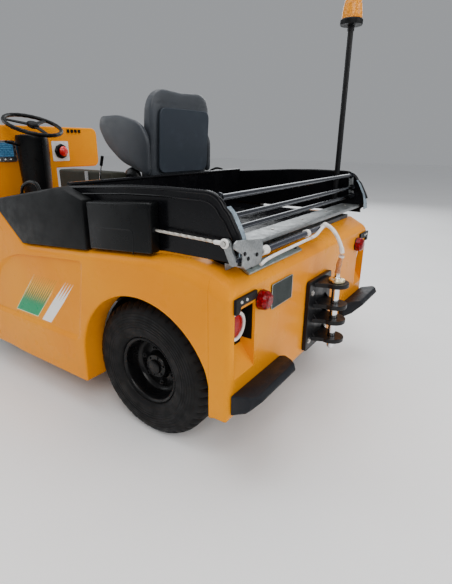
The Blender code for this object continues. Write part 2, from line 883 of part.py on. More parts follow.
def beacon():
    foot_x, foot_y = 0.20, -0.69
    top = 1.96
    rod("beacon_mast", "frame_black", (foot_x, foot_y, (DECK_Z + GAP + top) / 2), 0.016, top - DECK_Z - GAP, "Z", 16)
    profile = [
        (0.0, top + 0.135),
        (0.042, top + 0.125),
        (0.055, top + 0.10),
        (0.062, top + GAP),
        (0.0, top + GAP),
    ]
    turned("beacon", "beacon_amber", profile, (foot_x, foot_y, 0.0), (0.0, 0.0, 0.0), 24, False)


def build():
    for word, side in SIDES:
        wheel(word + "_rear", REAR_AXLE_X, REAR_WHEEL_Y, side)
        wheel(word + "_front", FRONT_AXLE_X, FRONT_WHEEL_Y, side)
        knuckle(word, side)
        side_body(word, side)
        guard(word, side)
        tray_wall(word, side)
        rear_bumper(word, side)
        tail_lamps(word, side)
        headlamp(word, side)
    rear_axle()
    front_axle()
    tie_rod()
    steering()
    chassis_frame()
    battery_block()
    battery_cover()
    floor_plate()
    rear_body()
    rear_deck()
    front_body()
    cowl()
    bonnet()
    dashboard()
    front_bumper()
    seat()
    side_console()
    release_box()
    tray_front_wall()
    rear_rails()
    rear_ledge()
    tow_hitch()
    tow_pin()
    release_linkage()
    shaft_bracket()
    release_cable()
    guide_bar()
    beacon()


build()
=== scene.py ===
"""The looks of an airport baggage tug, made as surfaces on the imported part's frame.

Lengths are metres: +X forward, +Y to the driver's left, +Z up, ground at z = 0.  A piece's
own x below is the distance ahead of the rear body panel, and REAR is that panel's world x.
"""

import json
import math

import bmesh
import bpy
import numpy as np
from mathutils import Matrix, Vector
from mathutils.geometry import delaunay_2d_cdt

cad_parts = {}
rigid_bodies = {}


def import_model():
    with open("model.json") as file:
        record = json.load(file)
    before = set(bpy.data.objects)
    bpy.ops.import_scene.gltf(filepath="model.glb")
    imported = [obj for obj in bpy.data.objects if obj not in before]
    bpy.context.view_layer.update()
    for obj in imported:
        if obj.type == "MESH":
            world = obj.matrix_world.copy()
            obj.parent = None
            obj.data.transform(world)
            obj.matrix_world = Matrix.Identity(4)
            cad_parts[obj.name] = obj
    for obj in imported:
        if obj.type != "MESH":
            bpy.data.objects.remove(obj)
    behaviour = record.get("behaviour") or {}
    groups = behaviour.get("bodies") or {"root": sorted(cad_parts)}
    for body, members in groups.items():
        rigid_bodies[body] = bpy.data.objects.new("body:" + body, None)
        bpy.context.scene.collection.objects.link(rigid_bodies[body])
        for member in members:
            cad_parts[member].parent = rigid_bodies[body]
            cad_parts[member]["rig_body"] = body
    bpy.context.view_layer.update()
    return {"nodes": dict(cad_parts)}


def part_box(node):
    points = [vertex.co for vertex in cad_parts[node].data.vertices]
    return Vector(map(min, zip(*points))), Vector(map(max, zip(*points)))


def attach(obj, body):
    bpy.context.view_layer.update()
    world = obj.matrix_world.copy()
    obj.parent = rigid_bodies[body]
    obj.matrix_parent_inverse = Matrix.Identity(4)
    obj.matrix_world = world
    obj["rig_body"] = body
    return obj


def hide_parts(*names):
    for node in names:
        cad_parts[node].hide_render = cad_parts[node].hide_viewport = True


bl_info = {
    "name": "Baggage tug",
    "version": (1, 0, 0),
    "blender": (4, 5, 0),
    "location": "View3D > Sidebar > Tug",
    "description": "Builds the detailed surfaces and finishes of an airport baggage tug",
    "category": "Object",
}

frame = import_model()
NODES = frame["nodes"]
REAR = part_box("rear_body")[0].x
TAU = math.tau
SIDES = (("left", 1), ("right", -1))


# ---------------------------------------------------------------- outlines and paths

def bent(corners, radius, steps=4):
    """A closed outline with eased corners: corner P becomes the curve (1-t)^2 A + 2t(1-t) P + t^2 B,
    where A and B lie one radius from P along its two sides."""
    corner = np.asarray(corners, float)
    back = np.roll(corner, 1, 0) - corner
    ahead = np.roll(corner, -1, 0) - corner
    back_length = np.linalg.norm(back, axis=1)
    ahead_length = np.linalg.norm(ahead, axis=1)
    reach = np.minimum(radius, 0.45 * np.minimum(back_length, ahead_length))
    first = corner + back * (reach / back_length)[:, None]
    last = corner + ahead * (reach / ahead_length)[:, None]
    t = np.linspace(0, 1, steps + 1)[None, :, None]
    curve = (1 - t) ** 2 * first[:, None] + 2 * t * (1 - t) * corner[:, None] + t ** 2 * last[:, None]
    return curve.reshape(-1, corner.shape[1])


def oblong(low, high, radius, steps):
    """The outline of a rectangle between two corners, its own corners eased."""
    return bent([low, (high[0], low[1]), high, (low[0], high[1])], radius, steps)


def eased(points, radius, steps=5):
    """An open path whose inner corners are eased in the same way and whose ends stay."""
    points = np.asarray(points, float)
    closed = bent(points, radius, steps).reshape(len(points), steps + 1, -1)
    return np.concatenate([points[:1], closed[1:-1].reshape(-1, points.shape[1]), points[-1:]])


def dense(points, spacing, closed=True):
    """The same line with extra points at equal steps of length, no two further apart than the spacing."""
    line = np.asarray(points, float)
    if closed:
        line = np.concatenate([line, line[:1]])
    keep = np.append(True, np.linalg.norm(np.diff(line, axis=0), axis=1) > 1e-6)
    line = line[keep]
    along = np.append(0, np.cumsum(np.linalg.norm(np.diff(line, axis=0), axis=1)))
    places = np.union1d(along, np.arange(0, along[-1], spacing))
    places = places[np.append(np.diff(places) > 0.15 * spacing, True)]
    fine = np.stack([np.interp(places, along, line[:, k]) for k in range(line.shape[1])], 1)
    return fine[:-1] if closed else fine


def ccw(loop):
    """The outline wound anticlockwise: reversed where its signed area is below zero."""
    x, y = loop[:, 0], loop[:, 1]
    area = np.sum(x * np.roll(y, -1) - np.roll(x, -1) * y)
    return loop if area > 0 else loop[::-1]


def inset(loop, distance):
    """Each point moved inwards so that both of its sides move by the distance."""
    step = np.roll(loop, -1, 0) - loop
    step = step / np.maximum(np.linalg.norm(step, axis=1, keepdims=True), 1e-9)
    normal = np.stack([step[:, 1], -step[:, 0]], 1)
    mean = normal + np.roll(normal, 1, 0)
    mean = mean / np.maximum((mean ** 2).sum(1, keepdims=True) / 2, 0.35)
    return loop - mean * np.broadcast_to(distance, len(loop))[:, None]


def circle(radius, sides, start=0.0):
    """Points (r cos a, r sin a) at equal angles a."""
    turn = start + np.arange(sides) * TAU / sides
    return np.stack([radius * np.cos(turn), radius * np.sin(turn)], 1)


def arc(centre, radius, start, end, count):
    """Points along an arc, its angles in degrees."""
    turn = np.radians(np.linspace(start, end, count))
    return np.stack([centre[0] + radius * np.cos(turn), centre[1] + radius * np.sin(turn)], 1)


def step_up(value, low, high):
    """Zero below low, one above high, and 3t^2 - 2t^3 between."""
    t = np.clip((value - low) / (high - low), 0, 1)
    return t * t * (3 - 2 * t)


# ---------------------------------------------------------------- surfaces

def grid(rows, columns, around=True, closed=False):
    """Quads between neighbouring points of a grid; around joins the last column to the first."""
    row = np.arange(rows if closed else rows - 1)
    column = np.arange(columns if around else columns - 1)
    i, j = np.meshgrid(row, column, indexing="ij")
    here, below = i * columns, ((i + 1) % rows) * columns
    right = (j + 1) % columns
    return np.stack([here + j, here + right, below + right, below + j], -1).reshape(-1, 4).tolist()


def capped(rings):
    """A stack of equal rings as one skin, its first and last ring filled."""
    rings = np.asarray(rings, float)
    rows, columns = rings.shape[:2]
    faces = grid(rows, columns)
    faces.append(list(range(columns))[::-1])
    faces.append(list(range((rows - 1) * columns, rows * columns)))
    return rings.reshape(-1, 3), faces


def laid(flat, depth, plane):
    """Flat points set into a plane at a depth: XZ puts the depth on y, XY on z, YZ on x."""
    depth = np.broadcast_to(depth, flat.shape[:-1])
    first, second = flat[..., 0], flat[..., 1]
    order = {"XZ": (first, depth, second), "XY": (first, second, depth), "YZ": (depth, first, second)}
    return np.stack(order[plane], -1)


def slab(outline, near, far, edge, plane="XZ", steps=4, far_edge=None):
    """An outline carried from near to far with a quarter-round at both rims: at angle a the ring is
    inset by e (1 - sin a) and lies e (1 - cos a) in."""
    loop = ccw(np.asarray(outline, float))
    edge = np.broadcast_to(edge, len(loop)).astype(float)
    other = edge if far_edge is None else np.broadcast_to(far_edge, len(loop)).astype(float)
    turn = np.linspace(0, math.pi / 2, steps + 1)
    sign = 1 if far > near else -1
    rings = []
    for angle in turn:
        rim = inset(loop, edge * (1 - math.sin(angle)))
        rings.append(laid(rim, near + sign * edge * (1 - math.cos(angle)), plane))
    for angle in turn[::-1]:
        rim = inset(loop, other * (1 - math.sin(angle)))
        rings.append(laid(rim, far - sign * other * (1 - math.cos(angle)), plane))
    return capped(rings)


def carried(section, path, side=(0.0, 1.0, 0.0), scale=None, closed=False):
    """A flat section carried along a path: its first axis lies along side, squared to the path's
    tangent, and its second along their cross product."""
    path = np.asarray(path, float)
    if closed:
        tangent = np.roll(path, -1, 0) - np.roll(path, 1, 0)
    else:
        tangent = np.gradient(path, axis=0)
    tangent = tangent / np.maximum(np.linalg.norm(tangent, axis=1, keepdims=True), 1e-9)
    side = np.broadcast_to(np.asarray(side, float), path.shape)
    across = side - tangent * (side * tangent).sum(1, keepdims=True)
    across = across / np.maximum(np.linalg.norm(across, axis=1, keepdims=True), 1e-9)
    up = np.cross(tangent, across)
    section = np.asarray(section, float)
    if section.ndim == 2:
        section = np.broadcast_to(section, (len(path), *section.shape))
    if scale is not None:
        section = section * np.asarray(scale, float)[:, None, None]
    rings = path[:, None] + section[..., :1] * across[:, None] + section[..., 1:2] * up[:, None]
    if closed:
        rows, columns = rings.shape[:2]
        return rings.reshape(-1, 3), grid(rows, columns, closed=True)
    return capped(rings)


def tube(path, radius, sides=16, side=(0.0, 1.0, 0.0), closed=False):
    """A round section carried along a path; the radius may change along it."""
    path = np.asarray(path, float)
    radii = np.broadcast_to(radius, len(path))
    return carried(circle(1.0, sides), path, side, radii, closed)


def turned(profile, steps, centre=(0.0, 0.0, 0.0), axis="Z"):
    """A profile of (radius, height) points spun about an axis through the centre."""
    profile = np.asarray(profile, float)
    turn = np.arange(steps) * TAU / steps
    wide = profile[:, 0, None] * np.cos(turn)
    deep = profile[:, 0, None] * np.sin(turn)
    tall = np.broadcast_to(profile[:, 1, None], wide.shape)
    order = {"Z": (wide, deep, tall), "Y": (deep, tall, wide), "X": (tall, wide, deep)}
    rings = np.stack(order[axis], -1) + np.asarray(centre, float)
    return capped(rings)


def sided(profile, side):
    """A profile of (radius, height) with its heights towards one side."""
    return [(radius, side * height) for radius, height in profile]


def repeated(shape, places):
    """Copies of one shape at many places."""
    points, faces = shape
    copies = points + np.asarray(places, float)[:, None]
    every = []
    for first in range(0, len(copies) * len(points), len(points)):
        every += [[index + first for index in face] for face in faces]
    return copies.reshape(-1, 3), every


def together(*shapes):
    """Several shapes as one list of points and faces."""
    points, faces, offset = [], [], 0
    for part, polygons in shapes:
        points.append(np.asarray(part, float))
        faces += [[index + offset for index in face] for face in polygons]
        offset += len(part)
    return np.concatenate(points), faces


def lean(points, angle, pivot, axis="Y"):
    """Points turned by an angle in degrees about an axis through a pivot."""
    c, s = math.cos(math.radians(angle)), math.sin(math.radians(angle))
    turns = {
        "X": [[1, 0, 0], [0, c, -s], [0, s, c]],
        "Y": [[c, 0, s], [0, 1, 0], [-s, 0, c]],
        "Z": [[c, -s, 0], [s, c, 0], [0, 0, 1]],
    }
    pivot = np.asarray(pivot, float)
    return (np.asarray(points, float) - pivot) @ np.array(turns[axis]).T + pivot


def block(low, high, edge):
    """A block between two corners with rounded edges, as a slab of its plan."""
    return slab(oblong(low[:2], high[:2], edge * 1.5, 3), low[2], high[2], edge, "XY", 2)


def screw(centre, size, axis="X", sign=1):
    """A bolt head with a chamfered top on a washer, standing along an axis."""
    tall = size * 0.62
    profile = [(0, 0), (size * 1.35, 0), (size * 1.35, size * 0.16), (size, size * 0.2)]
    profile += [(size, tall * 0.85), (size * 0.84, tall), (0, tall)]
    return turned(sided(profile, sign), 12, centre, axis)


# ---------------------------------------------------------------- making pieces

def cleaned(mesh):
    """Merges doubled points, drops edges of no length and turns every face outwards."""
    form = bmesh.new()
    form.from_mesh(mesh)
    bmesh.ops.remove_doubles(form, verts=form.verts, dist=0.00004)
    bmesh.ops.dissolve_degenerate(form, edges=form.edges, dist=0.00002)
    bmesh.ops.recalc_face_normals(form, faces=form.faces)
    if form.calc_volume(signed=True) < 0:
        bmesh.ops.reverse_faces(form, faces=form.faces)
    form.to_mesh(mesh)
    form.free()


def even_normals(thing, angle=38.0):
    """Smooth shading that stops at edges sharper than the angle and favours large flat faces."""
    thing.data.shade_smooth()
    thing.data.set_sharp_from_angle(angle=math.radians(angle))
    modifier = thing.modifiers.new("normals", "WEIGHTED_NORMAL")
    modifier.keep_sharp = True
    return thing


def piece(name, shape, finish, body="chassis", replaces=(), angle=38.0):
    """One named object from points and faces, moved to the world x, riding on its body."""
    points, faces = shape
    mesh = bpy.data.meshes.new(name)
    mesh.from_pydata((np.asarray(points, float) + (REAR, 0, 0)).tolist(), [], faces)
    cleaned(mesh)
    mesh.materials.append(surface(finish))
    thing = bpy.data.objects.new(name, mesh)
    bpy.context.scene.collection.objects.link(thing)
    even_normals(thing, angle)
    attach(thing, body)
    if replaces:
        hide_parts(*replaces)
    return thing


def softened(node, finish, width, segments=3, angle=30.0):
    """A copy of a CAD node with its doubles merged, flat faces joined and its edges rounded."""
    source = NODES[node]
    mesh = source.data.copy()
    form = bmesh.new()
    form.from_mesh(mesh)
    bmesh.ops.remove_doubles(form, verts=form.verts, dist=0.00005)
    bmesh.ops.dissolve_limit(
        form, angle_limit=math.radians(1.0), verts=form.verts, edges=form.edges, delimit={"NORMAL"}
    )
    form.to_mesh(mesh)
    form.free()
    mesh.materials.clear()
    mesh.materials.append(surface(finish))
    thing = bpy.data.objects.new(node + "_rounded", mesh)
    bpy.context.scene.collection.objects.link(thing)
    mesh.shade_smooth()
    if width:
        modifier = thing.modifiers.new("edges", "BEVEL")
        modifier.width = width
        modifier.segments = segments
        modifier.limit_method = "ANGLE"
        modifier.angle_limit = math.radians(angle)
        modifier.use_clamp_overlap = True
        modifier.harden_normals = True
    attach(thing, source["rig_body"])
    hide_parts(node)
    return thing


def refinished(node, finish):
    """The better material in a CAD node's own slots."""
    thing = NODES[node]
    for place in thing.material_slots:
        place.material = surface(finish)
    if not thing.material_slots:
        thing.data.materials.append(surface(finish))


def cut(thing, shape):
    """A boolean cut, applied, and the cutter removed."""
    points, faces = shape
    mesh = bpy.data.meshes.new("cutter")
    mesh.from_pydata((np.asarray(points, float) + (REAR, 0, 0)).tolist(), [], faces)
    cleaned(mesh)
    cutter = bpy.data.objects.new("cutter", mesh)
    bpy.context.scene.collection.objects.link(cutter)
    modifier = thing.modifiers.new("cut", "BOOLEAN")
    modifier.operation = "DIFFERENCE"
    modifier.object = cutter
    modifier.solver = "EXACT"
    bpy.context.view_layer.objects.active = thing
    bpy.ops.object.modifier_move_to_index(modifier="cut", index=0)
    bpy.ops.object.modifier_apply(modifier="cut")
    bpy.data.objects.remove(cutter, do_unlink=True)
    cleaned(thing.data)
    thing.data.shade_smooth()
    thing.data.set_sharp_from_angle(angle=math.radians(38))


# ---------------------------------------------------------------- finishes

class Finish:
    """One Principled material whose patterns read Object coordinates, in metres."""

    def __init__(self, name, colour, roughness, metallic=0.0, **sockets):
        self.material = bpy.data.materials.new(name)
        self.material.use_nodes = True
        self.material.diffuse_color = (*colour, 1.0)
        self.tree = self.material.node_tree
        self.shader = self.tree.nodes["Principled BSDF"]
        self.put("Base Color", (*colour, 1.0))
        self.put("Roughness", roughness)
        self.put("Metallic", metallic)
        for socket, value in sockets.items():
            self.put(socket.replace("_", " "), value)
        self.place = self.tree.nodes.new("ShaderNodeTexCoord").outputs["Object"]
        self.height = None

    def put(self, socket, value):
        self.shader.inputs[socket].default_value = value

    def link(self, output, socket):
        self.tree.links.new(output, socket)

    def stretched(self, scale):
        """The coordinates squeezed along each axis, for brushed or streaked patterns."""
        node = self.tree.nodes.new("ShaderNodeMapping")
        node.inputs["Scale"].default_value = scale
        self.link(self.place, node.inputs["Vector"])
        return node.outputs["Vector"]

    def noise(self, scale, detail=3.0, roughness=0.5, vector=None):
        node = self.tree.nodes.new("ShaderNodeTexNoise")
        node.inputs["Scale"].default_value = scale
        node.inputs["Detail"].default_value = detail
        node.inputs["Roughness"].default_value = roughness
        self.link(vector or self.place, node.inputs["Vector"])
        return node.outputs["Fac"]

    def cells(self, scale, feature="F1", output="Distance"):
        node = self.tree.nodes.new("ShaderNodeTexVoronoi")
        node.feature = feature
        node.inputs["Scale"].default_value = scale
        self.link(self.place, node.inputs["Vector"])
        return node.outputs[output]

    def axis(self, name, vector=None):
        node = self.tree.nodes.new("ShaderNodeSeparateXYZ")
        self.link(vector or self.place, node.inputs["Vector"])
        return node.outputs[name]

    def math(self, operation, first, second=None):
        node = self.tree.nodes.new("ShaderNodeMath")
        node.operation = operation
        for socket, value in zip(node.inputs, (first, second)):
            if value is None:
                continue
            if isinstance(value, (int, float)):
                socket.default_value = value
            else:
                self.link(value, socket)
        return node.outputs["Value"]

    def ranged(self, value, low, high, start=0.0, end=1.0):
        """The value carried from low..high to start..end, held at the ends."""
        node = self.tree.nodes.new("ShaderNodeMapRange")
        node.interpolation_type = "SMOOTHSTEP"
        self.link(value, node.inputs["Value"])
        for socket, number in zip(("From Min", "From Max", "To Min", "To Max"), (low, high, start, end)):
            node.inputs[socket].default_value = number
        return node.outputs["Result"]

    def mixed(self, share, first, second):
        node = self.tree.nodes.new("ShaderNodeMix")
        node.data_type = "RGBA"
        self.link(share, node.inputs["Factor"])
        for socket, value in ((node.inputs[6], first), (node.inputs[7], second)):
            if isinstance(value, tuple):
                socket.default_value = (*value, 1.0)
            else:
                self.link(value, socket)
        return node.outputs[2]

    def colour(self, output):
        self.link(output, self.shader.inputs["Base Color"])

    def roughness(self, output):
        self.link(output, self.shader.inputs["Roughness"])

    def relief(self, output, distance, strength=1.0):
        """A height pattern in metres of relief; several stack."""
        node = self.tree.nodes.new("ShaderNodeBump")
        node.inputs["Distance"].default_value = distance
        node.inputs["Strength"].default_value = strength
        self.link(output, node.inputs["Height"])
        if self.height is not None:
            self.link(self.height, node.inputs["Normal"])
        self.height = node.outputs["Normal"]
        self.link(self.height, self.shader.inputs["Normal"])


def shade(colour, factor):
    return tuple(min(1.0, channel * factor) for channel in colour)


def colours():
    return bpy.context.scene.tug_colours


def sizes():
    return bpy.context.scene.tug_sizes


def painted(name, decals=False):
    """Gloss body paint with soft colour drift, orange peel, and road dust low down."""
    base = tuple(colours().body)
    made = Finish(
        name, base, 0.3, Coat_Weight=0.05, Coat_Roughness=0.10, Specular_IOR_Level=0.12,
        Specular_Tint=(1.0, 0.45, 0.02, 1.0)
    )
    drift = made.ranged(made.noise(2.2, 4.0), 0.3, 0.7)
    tone = made.mixed(drift, shade(base, 0.94), (base[0], base[1] * 1.12, base[2]))
    tall = made.axis("Z")
    if decals:
        tone = decal_colours(made, tone)
    speckle = made.ranged(made.noise(38.0, 6.0, 0.7), 0.42, 0.72)
    low = made.ranged(tall, 0.20, 0.46, 1.0, 0.0)
    dust = made.math("MULTIPLY", made.math("MULTIPLY", low, speckle), 0.14)
    made.colour(made.mixed(dust, tone, (0.27, 0.19, 0.11)))
    smear = made.ranged(made.noise(6.0, 5.0, 0.6), 0.3, 0.75, 0.24, 0.4)
    made.roughness(made.math("ADD", smear, made.math("MULTIPLY", dust, 0.5)))
    made.relief(made.noise(420.0, 1.0), 0.00018)
    made.relief(made.noise(3.4, 2.0), 0.004, 0.25)
    return made.material


def decal_colours(made, tone):
    """Slanted stickers on the outer faces: a green block whose bars thin out upwards, and a white bar
    that splits into lines.  u = x + 0.94 (z - 0.447) is constant along the slant."""
    z = made.axis("Z")
    ahead = made.math("SUBTRACT", made.axis("X"), REAR)
    u = made.math("ADD", ahead, made.math("MULTIPLY", made.math("SUBTRACT", z, 0.447), 0.94))
    outside = made.math("GREATER_THAN", made.math("ABSOLUTE", made.axis("Y")), 0.772)

    def within(value, low, high):
        above = made.math("GREATER_THAN", value, low)
        return made.math("MULTIPLY", above, made.math("LESS_THAN", value, high))

    def bars(pitch, fade_low, fade_high):
        """One where a bar is: the bar's share of the pitch falls from all to none as z rises."""
        saw = made.math("SUBTRACT", made.math("FRACT", made.math("DIVIDE", u, pitch)), 0.5)
        saw = made.math("ABSOLUTE", saw)
        share = made.ranged(z, fade_low, fade_high, 0.52, 0.04)
        return made.math("LESS_THAN", saw, share)

    block_area = made.math("MULTIPLY", within(u, 1.249, 1.455), within(z, 0.446, 0.69))
    block_area = made.math("MULTIPLY", block_area, outside)
    rim = made.math("MULTIPLY", within(u, 1.2525, 1.4515), within(z, 0.4495, 0.69))
    green = made.mixed(made.ranged(z, 0.50, 0.60), tuple(colours().decal_green), (0.16, 0.16, 0.05))
    green = made.mixed(rim, (0.75, 0.86, 0.55), green)
    behind = made.mixed(made.ranged(z, 0.56, 0.69), (0.90, 0.52, 0.06), tone)
    block_tone = made.mixed(bars(0.0172, 0.505, 0.68), behind, green)
    tone = made.mixed(block_area, tone, block_tone)
    bar_area = made.math("MULTIPLY", within(u, 1.129, 1.208), within(z, 0.440, 0.695))
    bar_area = made.math("MULTIPLY", bar_area, outside)
    bar_share = made.math("MULTIPLY", bar_area, bars(0.0198, 0.56, 0.70))
    return made.mixed(bar_share, tone, (0.92, 0.91, 0.88))


def moulded(name, colour, roughness=0.42, grain=520.0, depth=0.00025):
    """Moulded plastic with a fine pebble grain, scuffs and a little dust."""
    made = Finish(name, colour, roughness, Specular_IOR_Level=0.15)
    scuff = made.ranged(made.noise(9.0, 7.0, 0.65), 0.5, 0.78)
    made.colour(made.mixed(made.math("MULTIPLY", scuff, 0.4), colour, shade(colour, 2.0)))
    made.roughness(made.ranged(made.noise(14.0, 5.0, 0.6), 0.3, 0.7, roughness - 0.07, roughness + 0.12))
    made.relief(made.cells(grain), depth)
    return made.material


def tray_gloss(name):
    """Gloss black lacquer on sheet metal, with hairline scratches and a faint ripple."""
    colour = (0.003, 0.003, 0.004)
    made = Finish(name, colour, 0.2, Coat_Weight=0.08, Coat_Roughness=0.05, Specular_IOR_Level=0.15)
    scratch = made.ranged(made.noise(60.0, 8.0, 0.7, made.stretched((0.6, 9.0, 9.0))), 0.60, 0.68)
    made.colour(made.mixed(made.math("MULTIPLY", scratch, 0.2), colour, (0.06, 0.063, 0.07)))
    made.roughness(made.ranged(made.noise(11.0, 6.0, 0.6), 0.3, 0.7, 0.16, 0.36))
    made.relief(made.noise(7.0, 2.0), 0.003, 0.3)
    return made.material


def zinc(name, colour, roughness=0.42):
    """Galvanised sheet: spangle cells a few millimetres across and dull patches."""
    made = Finish(name, colour, roughness, 0.85)
    spangle = made.axis("X", made.cells(190.0, "F1", "Color"))
    tone = made.mixed(spangle, shade(colour, 0.82), shade(colour, 1.18))
    dull = made.ranged(made.noise(17.0, 6.0, 0.65), 0.45, 0.7)
    made.colour(made.mixed(made.math("MULTIPLY", dull, 0.45), tone, (0.22, 0.23, 0.22)))
    made.roughness(made.ranged(made.noise(30.0, 5.0), 0.3, 0.7, roughness - 0.1, roughness + 0.15))
    made.relief(made.noise(160.0, 3.0), 0.0004, 0.5)
    return made.material


def bright(name, colour=(0.82, 0.83, 0.85), roughness=0.12):
    """Plated or polished steel with faint smears and pits."""
    made = Finish(name, colour, roughness, 1.0)
    smear = made.ranged(made.noise(26.0, 6.0, 0.65), 0.35, 0.72)
    made.colour(made.mixed(smear, colour, shade(colour, 0.82)))
    made.roughness(made.ranged(made.noise(44.0, 5.0, 0.6), 0.3, 0.75, roughness * 0.7, roughness + 0.14))
    made.relief(made.noise(230.0, 2.0), 0.0002, 0.5)
    return made.material


def lacquered_steel(name, colour=(0.006, 0.006, 0.007), roughness=0.4):
    """Thick black chassis lacquer with runs, chips to grey and grease."""
    made = Finish(name, colour, roughness, 0.0, Coat_Weight=0.06, Coat_Roughness=0.15, Specular_IOR_Level=0.2)
    chip = made.ranged(made.noise(75.0, 9.0, 0.75), 0.68, 0.73)
    tone = made.mixed(chip, colour, (0.06, 0.055, 0.05))
    dusty = made.ranged(made.noise(8.0, 6.0, 0.6), 0.5, 0.8)
    made.colour(made.mixed(made.math("MULTIPLY", dusty, 0.14), tone, (0.07, 0.06, 0.05)))
    made.roughness(made.ranged(made.noise(18.0, 4.0), 0.3, 0.7, roughness - 0.1, roughness + 0.15))
    made.relief(made.noise(120.0, 4.0), 0.0005, 0.5)
    return made.material


def rubber(name):
    """Tyre rubber with fine grain and pale dust in the tread and on the walls."""
    colour = (0.007, 0.007, 0.0075)
    made = Finish(name, colour, 0.6, Specular_IOR_Level=0.15)
    dust = made.ranged(made.noise(12.0, 8.0, 0.7), 0.48, 0.8)
    made.colour(made.mixed(made.math("MULTIPLY", dust, 0.3), colour, (0.05, 0.046, 0.038)))
    made.roughness(made.ranged(made.noise(22.0, 5.0, 0.6), 0.3, 0.7, 0.42, 0.75))
    made.relief(made.noise(340.0, 4.0, 0.6), 0.0005)
    return made.material


def lens(name, colour, glow, rib=260.0):
    """Moulded lens: clear gloss skin over a deep colour, with small prisms behind it."""
    made = Finish(name, colour, 0.16, Coat_Weight=0.12, Coat_Roughness=0.04, Specular_IOR_Level=0.2)
    prism = made.cells(rib)
    made.colour(made.mixed(made.ranged(prism, 0.1, 0.7), shade(colour, 1.25), shade(colour, 0.5)))
    made.put("Emission Color", (*colour, 1.0))
    made.put("Emission Strength", glow)
    made.relief(prism, 0.0012, 0.6)
    made.relief(made.noise(50.0, 2.0), 0.0006, 0.3)
    return made.material


def vinyl(name):
    """Seat vinyl: leather-like grain cells, a soft sheen and worn lighter patches."""
    colour = (0.020, 0.025, 0.033)
    made = Finish(name, colour, 0.5, Sheen_Weight=0.25, Sheen_Roughness=0.4, Specular_IOR_Level=0.5)
    worn = made.ranged(made.noise(5.0, 5.0, 0.6), 0.45, 0.75)
    made.colour(made.mixed(made.math("MULTIPLY", worn, 0.5), colour, (0.045, 0.054, 0.070)))
    made.roughness(made.ranged(made.noise(20.0, 4.0), 0.3, 0.7, 0.38, 0.56))
    made.relief(made.cells(420.0, "DISTANCE_TO_EDGE"), 0.0006, 0.7)
    made.relief(made.noise(36.0, 3.0), 0.0012, 0.4)
    return made.material


def sleeve(name):
    """Aged translucent orange sleeve with fine rings along its length."""
    colour = (0.72, 0.27, 0.07)
    made = Finish(name, colour, 0.28, Transmission_Weight=0.35, Coat_Weight=0.4)
    rings = made.math("SINE", made.math("MULTIPLY", made.axis("Z"), 1400.0))
    stain = made.ranged(made.noise(60.0, 5.0), 0.35, 0.7)
    made.colour(made.mixed(stain, colour, (0.50, 0.20, 0.08)))
    made.roughness(made.ranged(made.noise(90.0, 3.0), 0.3, 0.7, 0.2, 0.4))
    made.relief(rings, 0.0003)
    return made.material


def screen(name):
    """Dark display glass with a faint lit field in soft rows."""
    made = Finish(name, (0.02, 0.06, 0.12), 0.12, Coat_Weight=1.0, Coat_Roughness=0.03)
    rows = made.ranged(made.math("SINE", made.math("MULTIPLY", made.axis("Z"), 520.0)), -0.2, 0.6)
    field = made.math("MULTIPLY", rows, made.ranged(made.noise(70.0, 2.0), 0.35, 0.6))
    made.colour(made.mixed(field, (0.015, 0.05, 0.11), (0.10, 0.27, 0.42)))
    made.put("Emission Color", (0.05, 0.16, 0.3, 1.0))
    made.put("Emission Strength", 0.35)
    made.relief(made.noise(300.0, 1.0), 0.0001, 0.3)
    return made.material


def smooth_colour(name, colour, roughness=0.35, coat=0.2):
    """Small painted or plastic part with slight drift in tone and gloss."""
    made = Finish(name, colour, roughness, Coat_Weight=coat, Coat_Roughness=0.15)
    drift = made.ranged(made.noise(40.0, 5.0), 0.3, 0.7)
    made.colour(made.mixed(drift, shade(colour, 0.86), shade(colour, 1.08)))
    made.roughness(made.ranged(made.noise(60.0, 4.0), 0.3, 0.7, roughness - 0.08, roughness + 0.12))
    made.relief(made.noise(300.0, 2.0), 0.0002, 0.5)
    return made.material


def tread_plate(name):
    """Black floor sheet with raised studs on a slanted lattice and dusty hollows."""
    made = Finish(name, (0.008, 0.008, 0.009), 0.45)
    one = made.math("MULTIPLY", made.math("ADD", made.axis("X"), made.axis("Y")), 210.0)
    one = made.math("SINE", one)
    two = made.math("MULTIPLY", made.math("SUBTRACT", made.axis("X"), made.axis("Y")), 105.0)
    two = made.math("SINE", two)
    stud = made.ranged(made.math("MULTIPLY", one, two), 0.35, 0.6)
    made.colour(made.mixed(stud, (0.022, 0.02, 0.017), (0.008, 0.008, 0.009)))
    made.roughness(made.ranged(made.noise(24.0, 5.0), 0.3, 0.7, 0.4, 0.65))
    made.relief(stud, 0.0016)
    return made.material


def floor_finish(name):
    """Pale swept concrete with a barely visible mottle."""
    colour = tuple(colours().floor)
    made = Finish(name, colour, 0.6)
    mottle = made.ranged(made.noise(1.3, 6.0, 0.6), 0.3, 0.7)
    made.colour(made.mixed(mottle, shade(colour, 0.97), colour))
    made.relief(made.noise(45.0, 5.0), 0.0015, 0.4)
    return made.material


